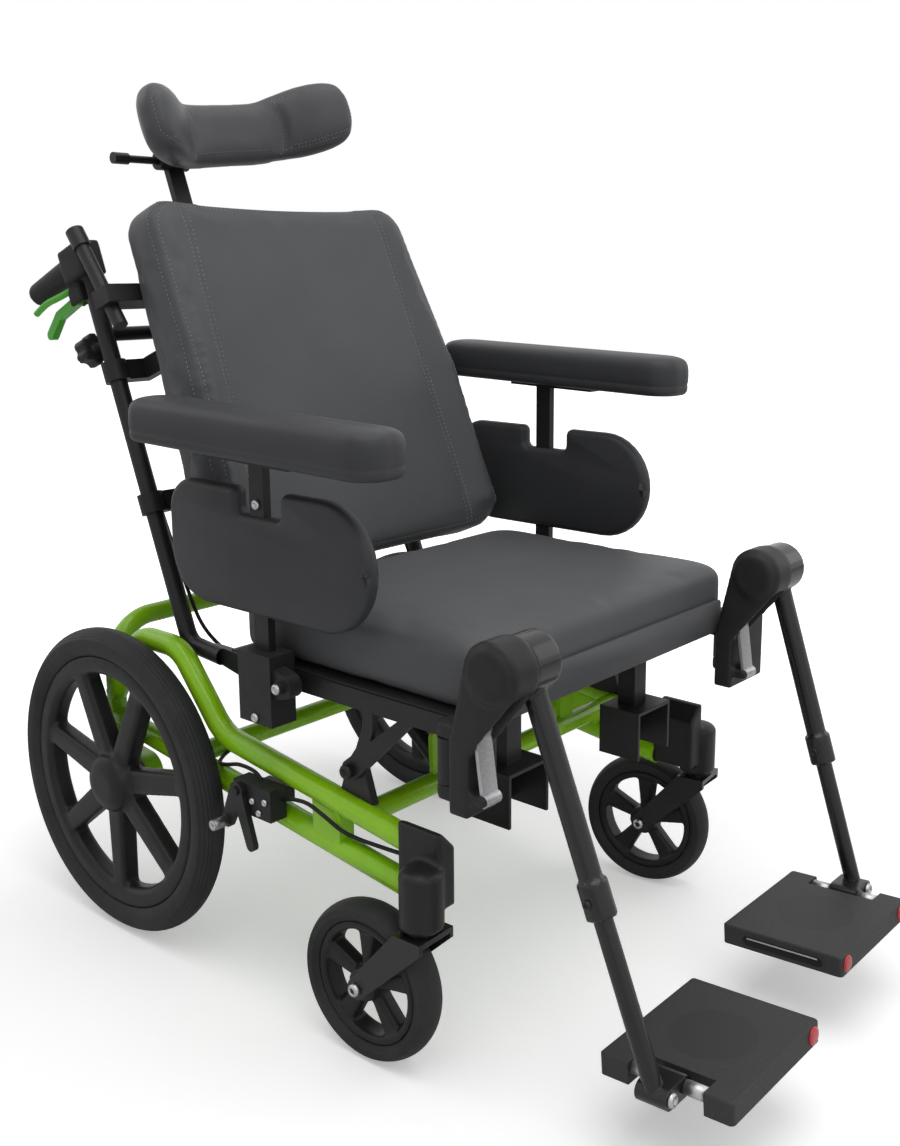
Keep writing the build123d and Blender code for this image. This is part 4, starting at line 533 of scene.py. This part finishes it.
def turned(name, profile, axis_at, axis, material, segments=64):
    """Solid of revolution: profile is (distance along the axis, radius) pairs, closed round."""
    axis = Vector(axis).normalized()
    side = axis.orthogonal().normalized()
    other = axis.cross(side)
    rings = []
    for k in range(segments):
        angle = 2 * math.pi * k / segments
        out = side * math.cos(angle) + other * math.sin(angle)
        rings.append([Vector(axis_at) + axis * h + out * r for h, r in profile])
    count = len(profile)
    verts = [p for ring in rings for p in ring]
    faces = []
    for k in range(segments):
        following = (k + 1) % segments
        for i in range(count):
            j = (i + 1) % count
            faces.append((k * count + i, k * count + j, following * count + j, following * count + i))
    return new_object(name, verts, faces, material)


def bolt(name, at, axis, radius, height, body, material=STEEL):
    """Button-head screw with a hexagon socket, its seat at the given point."""
    axis = Vector(axis).normalized()
    side = axis.orthogonal().normalized()
    other = axis.cross(side)

    def ring(r, h, count=24, flat=False):
        points = []
        for k in range(count):
            angle = 2 * math.pi * k / count
            reach = r
            if flat:
                wedge = (angle + math.pi / 6) % (math.pi / 3) - math.pi / 6
                reach = r * math.cos(math.pi / 6) / math.cos(wedge)
            points.append(Vector(at) + axis * h + (side * math.cos(angle) + other * math.sin(angle)) * reach)
        return points

    rings = [ring(radius, -0.0004), ring(radius, height * 0.45), ring(radius * 0.86, height * 0.85),
             ring(radius * 0.62, height), ring(radius * 0.52, height, flat=True),
             ring(radius * 0.48, height * 0.45, flat=True)]
    place(ring_mesh(name, rings, material), body)


def tube(name, points, radius, material, body, kind="NURBS"):
    """Round rod along the points: NURBS rounds their corners, POLY goes straight from each to the next."""
    curve = bpy.data.curves.new(name, "CURVE")
    curve.dimensions = "3D"
    curve.bevel_depth = radius
    curve.bevel_resolution = 3
    curve.use_fill_caps = True
    spline = curve.splines.new(kind)
    spline.points.add(len(points) - 1)
    for target, p in zip(spline.points, points):
        target.co = (*p, 1)
    if kind == "NURBS":
        spline.order_u = 3
        spline.use_endpoint_u = True
    made = bpy.data.objects.new(name, curve)
    scene.collection.objects.link(made)
    curve.materials.append(material)
    return place(made, body)


# Seat cushion: block foam in a fitted cover, crowned and with a firm front edge

def seat_cushion():
    low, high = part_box("seat_cushion")
    width, length = high[0] - low[0], high[1] - low[1]
    middle = Vector(((low[0] + high[0]) / 2, (low[1] + high[1]) / 2, 0))

    def outline(inset):
        w, l = width / 2 - inset, length / 2 - inset
        return rounded_polygon([(-w, -l), (w, -l), (w, l), (-w, l)], [0.030] * 4, 8, 18)

    shape = [(0.001, 0.012), (0.004, 0.004), (0.012, 0.0012), (0.055, 0.0012), (0.062, 0.003),
             (0.0665, 0.0075), (0.0690, 0.015), (0.0705, 0.032)]
    rings = [[Vector((p.x, p.y, SEAT_BASE + z)) + middle for p in outline(inset)] for z, inset in shape]
    for share, z in ((0.82, 0.0716), (0.6, 0.0724), (0.35, 0.0728), (0.12, 0.0730)):
        rings.append([Vector((p.x, p.y, SEAT_BASE + z)) + middle for p in shrink(outline(0.032), share)])
    piece = ring_mesh("seat_cushion_cover", rings, COVER)
    simulate(piece, 0.006, 0.004)
    subdivide(piece)
    place(piece, "seat", ["seat_cushion"])
    half, top = width / 2 - 0.026, SEAT_BASE + 0.030
    face = rounded_polygon([(-half, low[2]), (half, low[2]), (half, top), (-half, top)], [0.006] * 4)
    rings = [[Vector((p.x, low[1] + y, p.y)) for p in shrink(face, share)]
             for y, share in ((0.0055, 1.0), (0.0012, 1.0), (0.0002, 0.998))]
    lip = ring_mesh("seat_front_lip", rings, COVER)
    place(lip, "seat")


# Back cushion: centre panel between two sewn seams, boxing round the edge

def back_outline(inset):
    """Points round the back cushion in (x, u), a little hollow at the top."""
    low, high = BACK_LOW + inset, BACK_HIGH - inset
    wide, narrow = 0.242 - inset, 0.218 - inset
    points = rounded_polygon([(-wide, low), (wide, low), (narrow, high), (-narrow, high)],
                             [0.030, 0.030, 0.042, 0.042], 8, 20)
    for p in points:
        share = max(0.0, (p.y - (high - 0.08)) / 0.08)
        p.y -= 0.010 * share * max(0.0, 1 - (p.x / narrow) ** 2)
    return points


def bolster(x, u):
    """How far the side bolsters stand forward of the centre panel."""
    low = (0.126, 0.186, 0.225, 0.021)
    middle = (0.340, 0.172, 0.219, 0.023)
    high = (0.548, 0.165, 0.199, 0.004)
    first, second = (low, middle) if u < middle[0] else (middle, high)
    t = min(1.0, max(0.0, (u - first[0]) / (second[0] - first[0])))
    inner, ridge, rise = (a + (b - a) * t for a, b in zip(first[1:], second[1:]))
    across = min(1.0, max(0.0, (abs(x) - inner) / (ridge - inner)))
    ends = min(1.0, max(0.0, (u - BACK_LOW) / 0.03)) * min(1.0, max(0.0, (BACK_HIGH - u) / 0.03))
    return rise * across * across * (3 - 2 * across) * ends


def back_front(p, v):
    """Point of the back cushion's skin, with the bolsters drawn out from its front half."""
    share = min(1.0, max(0.0, (-v - 0.012) / 0.040))
    return back_at(p.x, p.y, v - share * bolster(p.x, p.y))


def back_cushion():
    shape = [(0.000, 0.030), (0.000, 0.008), (-0.005, 0.001), (-0.012, 0.0), (-0.050, 0.0),
             (-0.0560, 0.0016), (-0.0598, 0.0050), (-0.0614, 0.0110), (-0.0618, 0.0200), (-0.0619, 0.0300)]
    rings = [[back_front(p, v) for p in back_outline(inset)] for v, inset in shape]
    for share, v in ((0.97, -0.0620), (0.93, -0.0622), (0.89, -0.0625), (0.85, -0.0628),
                     (0.80, -0.0631), (0.62, -0.0640), (0.36, -0.0648), (0.12, -0.0650)):
        rings.append([back_front(p, v) for p in shrink(back_outline(0.030), share)])
    piece = ring_mesh("back_cushion_cover", rings, BACK_COVER)
    simulate(piece, 0.006, 0.004)
    subdivide(piece)
    place(piece, "back", ["back_cushion"])
    return piece


def back_seams(piece):
    """Double rows down the centre panel, and a row along the edge seam."""
    def seam(offset):
        lines = []
        for side in (-1, 1):
            lines.append([back_at(side * (0.165 + 0.020 * (1 - t) + offset), 0.104 + 0.468 * t, -0.066)
                          for t in [k / 24 for k in range(25)]])
        return lines

    groove(piece, seam(0.0), 0.007, 0.0016)
    edge_line = [back_front(p, -0.0600) for p in back_outline(0.010)]
    edge_line.append(edge_line[0])
    box_line = [back_front(p, -0.0490) for p in back_outline(0.0)]
    box_line.append(box_line[0])
    groove(piece, [edge_line], 0.005, 0.0008)
    stitches("back_centre_stitches", piece, seam(0.0042) + seam(-0.0042), "back")
    stitches("back_edge_stitches", piece, [edge_line, box_line], "back")


# Headrest: three sewn sections, the two outer ones raised as wings

def headrest():
    pitch, roll = math.radians(-14), math.radians(-6)
    centre = Matrix.Translation((-0.016, ahead(-0.080), 1.022))
    centre = centre @ Matrix.Rotation(pitch, 4, "X") @ Matrix.Rotation(roll, 4, "Y")
    stations = [(0.0, 0.0, 0.048, 0.084, 0.0), (0.058, 0.003, 0.048, 0.085, 0.0),
                (0.082, 0.015, 0.058, 0.089, 0.002), (0.118, 0.044, 0.072, 0.095, 0.004),
                (0.150, 0.067, 0.062, 0.086, 0.005), (0.166, 0.075, 0.034, 0.054, 0.005),
                (0.171, 0.077, 0.014, 0.030, 0.005)]
    full = [(-s[0], *s[1:]) for s in reversed(stations[1:])] + stations

    def at(t):
        k = min(int(t), len(full) - 2)
        return [between(*values, t - k) for values in zip(*around(full, k))]

    steps = 72
    rings = []
    for i in range(steps + 1):
        x, forward, deep, high, rise = at((len(full) - 1) * i / steps)
        ring = []
        for k in range(40):
            angle = 2 * math.pi * k / 40
            c, s = math.cos(angle), math.sin(angle)
            y = -forward + deep / 2 * math.copysign(abs(c) ** 0.72, c)
            z = rise + high / 2 * math.copysign(abs(s) ** 0.78, s)
            ring.append(centre @ Vector((x, y, z)))
        rings.append(ring)
    piece = ring_mesh("headrest_cover", rings, LEATHER)
    simulate(piece, 0.0045, 0.003)
    place(piece, "headrest", ["headrest_pad"])
    lines = []
    for side in (-1, 1):
        line = []
        for t in [k / 16 for k in range(17)]:
            x = side * (0.066 + 0.008 * math.sin(math.pi * t))
            line.append(centre @ Vector((x, -0.040 - 0.01 * t, -0.045 + 0.09 * t)))
        lines.append(line)
    low_line = []
    for x in [-0.160 + 0.32 * k / 40 for k in range(41)]:
        y = -0.042 - max(0, abs(x) - 0.06) * 0.78
        low_line.append(centre @ Vector((x, y, -0.036 + max(0, abs(x) - 0.08) * 0.06)))
    rims = []
    for side in (-1, 1):
        wing = [s for s in stations if 0.08 < s[0] < 0.17]
        upper = [(x, -forward - 0.40 * deep, rise + 0.40 * high)
                 for x, forward, deep, high, rise in wing]
        lower = [(x, -forward - 0.40 * deep, rise - 0.40 * high)
                 for x, forward, deep, high, rise in reversed(wing)]
        rims.append([centre @ Vector((side * x, y, z)) for x, y, z in upper + lower])
    groove(piece, lines, 0.017, 0.0065)
    groove(piece, [low_line] + rims, 0.005, 0.0010)
    stitches("headrest_stitches", piece, lines + [low_line] + rims, "headrest",
             pitch=0.005, length=0.0034, radius=0.00045)


# Arm pads and side panels

def arm_pad(label):
    foot = Matrix.Translation((SIDES[label] * ARM_PAD_X, ahead(0.297) + ARM_BACK[label],
                               0.648 + ARM_LIFT[label]))
    foot = foot @ Matrix.Rotation(math.radians(1.4), 4, "X")

    def outline(inset):
        w, l = 0.038 - inset, 0.203 - inset
        r = max(0.004, 0.031 - inset * 0.7)
        return rounded_polygon([(-w, -l), (w, -l), (w, l), (-w, l)], [r] * 4, 10, 14)

    shape = [(0.0, 0.010), (0.0008, 0.0045), (0.004, 0.0012), (0.010, 0.0004), (0.0140, 0.0012),
             (0.0146, 0.0012), (0.0176, 0.0002), (0.034, 0.0002), (0.0425, 0.0020), (0.0475, 0.0062),
             (0.0502, 0.0130), (0.0515, 0.0220), (0.0520, 0.0300)]
    rings = [[foot @ Vector((p.x, p.y, z)) for p in outline(inset)] for z, inset in shape]
    piece = ring_mesh(f"arm_pad_{label}", rings, SKIN)
    subdivide(piece)
    place(piece, f"armrest_{label}", [f"armrest_pad_{label}"])


def panel_outline(lift, back, inset):
    """Round in front, two corners behind, and the notch over the post."""
    low, high = 0.467 + lift, 0.611 + lift
    front, rear = ahead(0.460) + back, ahead(0.128) + back
    notch = (ahead(0.325) + back, ahead(0.252) + back)
    deep = 0.030
    big = (high - low) / 2 - 0.0005
    corners = [(front, low), (rear, low), (rear, high), (notch[1], high), (notch[1], high - deep),
               (notch[0], high - deep), (notch[0], high), (front, high)]
    radii = [big, 0.062, 0.040, 0.009, 0.008, 0.008, 0.009, big]
    points = rounded_polygon(corners, radii, 9, 8)
    if not inset:
        return points
    moved = []
    for i, p in enumerate(points):
        before, after = points[i - 1], points[(i + 1) % len(points)]
        run = (after - before).normalized()
        moved.append(p + Vector((-run.y, run.x)) * inset)
    return moved


def side_panel(label):
    middle = SIDES[label] * PANEL_X
    half = [(0.0012, 0.0), (0.0050, 0.0006), (0.0078, 0.0022), (0.0096, 0.0050), (0.0108, 0.0085)]
    shape = [(-x, inset) for x, inset in reversed(half)] + half
    rings = [[Vector((middle + x, p.x, p.y))
              for p in panel_outline(PANEL_LIFT[label], ARM_BACK[label], inset)] for x, inset in shape]
    piece = ring_mesh(f"side_panel_{label}_cover", rings, SKIN)
    place(piece, f"armrest_{label}", [f"side_panel_{label}"])


# Wheels: ribbed tyres and softly moulded rims

def rear_tyre(label):
    side = SIDES[label]
    half = 0.020
    wall = [(0.0139, 0.1661), (0.0160, 0.1690), (0.0195, 0.1760), (0.0200, 0.1800), (half, 0.186)]
    profile = [(-h, r) for h, r in wall]
    crown = 41
    for k in range(crown):
        t = -1 + 2 * k / (crown - 1)
        reach = REAR_WHEEL_R - 0.0118 * abs(t) ** 2.3
        rib = 0.0011 if k % 4 == 2 and 0.12 < abs(t) < 0.95 else 0.0
        profile.append((half * t * 0.995, reach - rib))
    profile += reversed(wall)
    piece = turned(f"rear_tyre_{label}_ribbed", profile, (side * REAR_WHEEL_X, AXLE_Y, REAR_WHEEL_R), (1, 0, 0),
                   TYRE, 96)
    place(piece, f"rear_wheel_{label}", [f"rear_tyre_{label}"])


seat_cushion()
back_seams(back_cushion())
headrest()
for name in SIDES:
    arm_pad(name)
    side_panel(name)
    rear_tyre(name)
    soften(f"rear_rim_{name}", 0.003, 7)
    soften(f"caster_rim_{name}", 0.0022, 5)
    soften(f"legrest_hanger_{name}", 0.0025, 10)
    soften(f"push_handle_{name}", 0.0022, 6)
    soften(f"leg_upper_{name}", 0.0020, 3)
soften("caster_heads", 0.0025, 6, WORN)
soften("handle_knobs", 0.0020, 5)

# Screws, pins and bright ends
for name, side in SIDES.items():
    shift = ARM_BACK[name]
    out = (side, 0, 0)
    bolt(f"socket_bolt_{name}", (side * 0.291, ahead(0.327) + shift, 0.396), out, 0.0062, 0.004, "seat")
    bolt(f"socket_foot_bolt_{name}", (side * 0.288, ahead(0.286) + shift, 0.353), out, 0.0055, 0.004, "seat")
    bolt(f"panel_bolt_{name}", (side * 0.273, ahead(0.283) + shift, 0.594 + PANEL_LIFT[name]), out,
         0.0060, 0.004, f"armrest_{name}")
    bolt(f"tilt_bolt_{name}", (side * 0.256, ahead(0.398), 0.308), out, 0.0085, 0.005, "chassis", BLACK)
    for k, (d, z) in enumerate(((0.268, 0.246), (0.290, 0.250), (0.279, 0.234))):
        bolt(f"brake_screw_{name}_{k}", (side * 0.283, ahead(d), z), out, 0.0042, 0.003, "chassis")
    pin_y = ahead(0.247) + 0.046 * math.sin(math.radians(25))
    pin_z = 0.255 - 0.046 * math.cos(math.radians(25))
    profile = [(0.0, 0.0066), (0.0195, 0.0066), (0.0205, 0.0060), (0.0205, 0.0010), (0.0, 0.0010)]
    sleeve = turned(f"brake_pin_{name}", profile, (side * 0.2908, pin_y, pin_z), out, STEEL, 32)
    place(sleeve, f"brake_lever_{name}")

# Caster axle screws, one on each side of each fork
for name, swivel in (("right", math.radians(2)), ("left", math.radians(8))):
    run = Vector((math.cos(swivel), math.sin(swivel), 0))
    trail = Vector((-math.sin(swivel), math.cos(swivel), 0)) * 0.072
    axle = Vector((SIDES[name] * 0.2735, ahead(0.525), 0.090)) + trail
    for end in (-1, 1):
        bolt(f"caster_screw_{name}_{end}", axle + run * end * 0.0275, run * end, 0.0075, 0.006,
             f"caster_fork_{name}")

# Legrests: collar screws, hinge sleeves and clamp screws
for name, side in SIDES.items():
    collar = leg_at(name, 0.232) - Vector((0.0150, 0, 0))
    bolt(f"collar_screw_{name}", collar, (-1, 0, 0), 0.0048, 0.004, f"leg_upper_{name}", BLACK)
    hinge = hinge_frame(name)
    run = hinge.to_3x3() @ Vector((0, 1, 0))
    for end in (-1, 1):
        profile = [(0.0176, 0.0056), (0.0176, 0.0072), (0.0414, 0.0072), (0.0414, 0.0056)]
        sleeve = turned(f"hinge_sleeve_{name}_{end}", profile, hinge.translation, run * end, ALUMINIUM, 32)
        place(sleeve, f"footplate_{name}")
    bolt(f"clamp_screw_{name}", hinge @ Vector((side * HINGE_INSET, -0.0170, 0)), -run, 0.0072, 0.005,
         f"leg_lower_{name}")


def reflector(name, label, x):
    """Round red lens at a front corner of a footplate."""
    hinge = hinge_frame(label)
    angles = [2 * math.pi * k / 32 for k in range(32)]
    rings = [[hinge @ Vector((x + r * math.cos(a), -PLATE_AHEAD - y, -0.0035 + r * math.sin(a)))
              for a in angles]
             for y, r in ((-0.0005, 0.0096), (0.0010, 0.0096), (0.0019, 0.0086), (0.0022, 0.0060))]
    place(ring_mesh(name, rings, REFLECTOR), f"footplate_{label}")


reflector("reflector_left_inner", "left", -0.151)
reflector("reflector_left_outer", "left", -0.004)
reflector("reflector_right_inner", "right", 0.151)


def painted_slot_shade(label):
    """Long finger slot in the inner edge of a footplate, drawn as a thin dark sheet of painted shade on the
    edge, with a pale bar along its top.
    """
    hinge = hinge_frame(label)
    inner = -SIDES[label]
    half, low, high = 0.050, -0.0105, 0.0005
    face = rounded_polygon([(-half, low), (half, low), (half, high), (-half, high)], [0.005] * 4, 6, 6)
    rings = [[hinge @ Vector((inner * (PLATE_INNER + x), p.x, p.y)) for p in shrink(face, share)]
             for x, share in ((-0.0004, 1.0), (0.0003, 1.0), (0.0004, 0.96))]
    # Painted shade: the slot's hollow is a thin dark sheet in the cable sheath's colour, laid on the plate's
    # edge
    place(ring_mesh(f"painted_slot_shade_{label}", rings, SHEATH_AND_SLOT_SHADE), f"footplate_{label}")
    line = [hinge @ Vector((inner * (PLATE_INNER + 0.0002), y, -0.0015)) for y in (-0.044, -0.015, 0.015, 0.044)]
    tube(f"edge_bar_{label}", line, 0.0009, ALUMINIUM, f"footplate_{label}")


for name in SIDES:
    painted_slot_shade(name)

# Second hand lever under each grip
for name, side in SIDES.items():
    tube(f"hand_lever_{name}", [Vector((side * x, ahead(d), z)) for x, d, z in
                                ((0.221, -0.136, 0.819), (0.228, -0.158, 0.8085), (0.2295, -0.1875, 0.8005),
                                 (0.2295, -0.2112, 0.7865))],
         0.0044, LEVER, f"push_handle_{name}")


# Control cables

def cable(name, points, body):
    """Sheathed control cable on a smooth curve through the points, from one fitting to another."""
    path = [between(*around(points, k), step / 10) for k in range(len(points) - 1) for step in range(10)]
    path.append(points[-1])
    made = tube(name, path, CABLE_R, SHEATH_AND_SLOT_SHADE, body, "POLY")


# Routes of the right-hand cables: (x, ahead of the axle, z) on the chassis, (x, u, v) on the back
BRAKE_ROUTE = ((0.264, 0.262, 0.264), (0.264, 0.249, 0.2715), (0.264, 0.222, 0.2725), (0.263, 0.196, 0.2655),
               (0.254, 0.172, 0.2590), (0.236, 0.156, 0.2580), (0.216, 0.1500, 0.2615))
FRONT_ROUTE = ((0.264, 0.298, 0.250), (0.264, 0.318, 0.2555), (0.264, 0.342, 0.2570), (0.263, 0.368, 0.2490),
               (0.257, 0.388, 0.2365), (0.249, 0.406, 0.2290), (0.247, 0.440, 0.2290), (0.248, 0.4795, 0.2320))
RELEASE_ROUTE = ((0.206, 0.533, 0.118), (0.2025, 0.505, 0.120), (0.2005, 0.440, 0.112), (0.1995, 0.320, 0.108),
                 (0.1990, 0.200, 0.099), (0.1985, 0.110, 0.092), (0.1960, 0.060, 0.083), (0.1880, 0.020, 0.058),
                 (0.1800, 0.002, 0.030), (0.1760, 0.0, 0.0095))
for name, side in SIDES.items():
    for label, route in (("brake", BRAKE_ROUTE), ("front", FRONT_ROUTE)):
        cable(f"{label}_cable_{name}", [Vector((side * x, ahead(d), z)) for x, d, z in route], "chassis")
    cable(f"release_cable_{name}", [back_at(side * x, u, v) for x, u, v in RELEASE_ROUTE], "back")

# Camera at the photograph's place, plain floor and soft studio light
camera_data = bpy.data.cameras.new("camera")
camera = bpy.data.objects.new("camera", camera_data)
scene.collection.objects.link(camera)
camera_data.sensor_width = 36
camera_data.lens = 39.96
camera_data.shift_x = -0.0426
camera_data.shift_y = -0.0463
camera.location = (-1.1548, -1.3648 + AXLE_Y, 0.8544)
forward = Vector((0.7527, 0.6281, -0.1986))
camera.rotation_euler = forward.to_track_quat("-Z", "Y").to_euler()
scene.camera = camera

# The floor is white to the camera far out and keeps the shadow near the chair
FLOOR_HALF = 9
corners = [(x * FLOOR_HALF, y * FLOOR_HALF, 0) for x, y in ((-1, -1), (1, -1), (1, 1), (-1, 1))]
floor_mesh = bpy.data.meshes.new("floor")
floor_mesh.from_pydata(corners, [], [(0, 1, 2, 3)])
floor = bpy.data.objects.new("floor", floor_mesh)
scene.collection.objects.link(floor)
floor_shader = Shader("floor", 0.7, specular=0.2)
floor_shader.color(floor_shader.ramp(floor_shader.noise(2, 2),
                                     [(0.0, (0.92, 0.92, 0.92)), (1.0, (0.95, 0.95, 0.95))]))
far = floor_shader.ramp(floor_shader.span(floor_shader.distance((0, 0, 0)), 0.0, 1.0, 4.0),
                        [(0.15, (0.34, 0.34, 0.34)), (0.42, (1, 1, 1))])
seen = floor_shader.tree.nodes.new("ShaderNodeLightPath").outputs["Is Camera Ray"]
floor_shader.tree.links.new(floor_shader.mix(seen, (0.0, 0.0, 0.0), far),
                            floor_shader.main.inputs["Emission Color"])
floor_shader.main.inputs["Emission Strength"].default_value = 1.0
floor_mesh.materials.append(floor_shader.material)

# The world is white to the camera and in reflections, and a dim sky to everything else
world = bpy.data.worlds.new("studio")
scene.world = world
world.use_nodes = True
world.node_tree.nodes["Background"].inputs["Color"].default_value = (1.0, 1.0, 1.0, 1)
path_node = world.node_tree.nodes.new("ShaderNodeLightPath")
seen = world.node_tree.nodes.new("ShaderNodeMath")
seen.operation = "MAXIMUM"
world.node_tree.links.new(path_node.outputs["Is Camera Ray"], seen.inputs[0])
world.node_tree.links.new(path_node.outputs["Is Glossy Ray"], seen.inputs[1])
level = world.node_tree.nodes.new("ShaderNodeMapRange")
level.inputs["To Min"].default_value = 0.36
level.inputs["To Max"].default_value = 1.0
world.node_tree.links.new(seen.outputs["Value"], level.inputs["Value"])
world.node_tree.links.new(level.outputs["Result"], world.node_tree.nodes["Background"].inputs["Strength"])


def area_light(name, at, target, size, power):
    data = bpy.data.lights.new(name, "AREA")
    data.shape = "RECTANGLE"
    data.size, data.size_y = size
    data.energy = power
    lamp = bpy.data.objects.new(name, data)
    lamp.location = at
    lamp.rotation_euler = (Vector(target) - Vector(at)).to_track_quat("-Z", "Y").to_euler()
    scene.collection.objects.link(lamp)


area_light("top", (-0.2, -0.5, 3.0), (0, 0, 0.4), (2.8, 2.8), 46)
area_light("key", (-1.0, -2.8, 2.3), (0, 0, 0.5), (1.8, 1.8), 13)
area_light("fill", (2.4, -1.6, 1.8), (0, 0, 0.5), (1.8, 1.8), 9)
area_light("rim", (-1.2, 2.2, 2.2), (0, 0, 0.6), (1.6, 1.2), 5)

scene.view_settings.view_transform = "Standard"
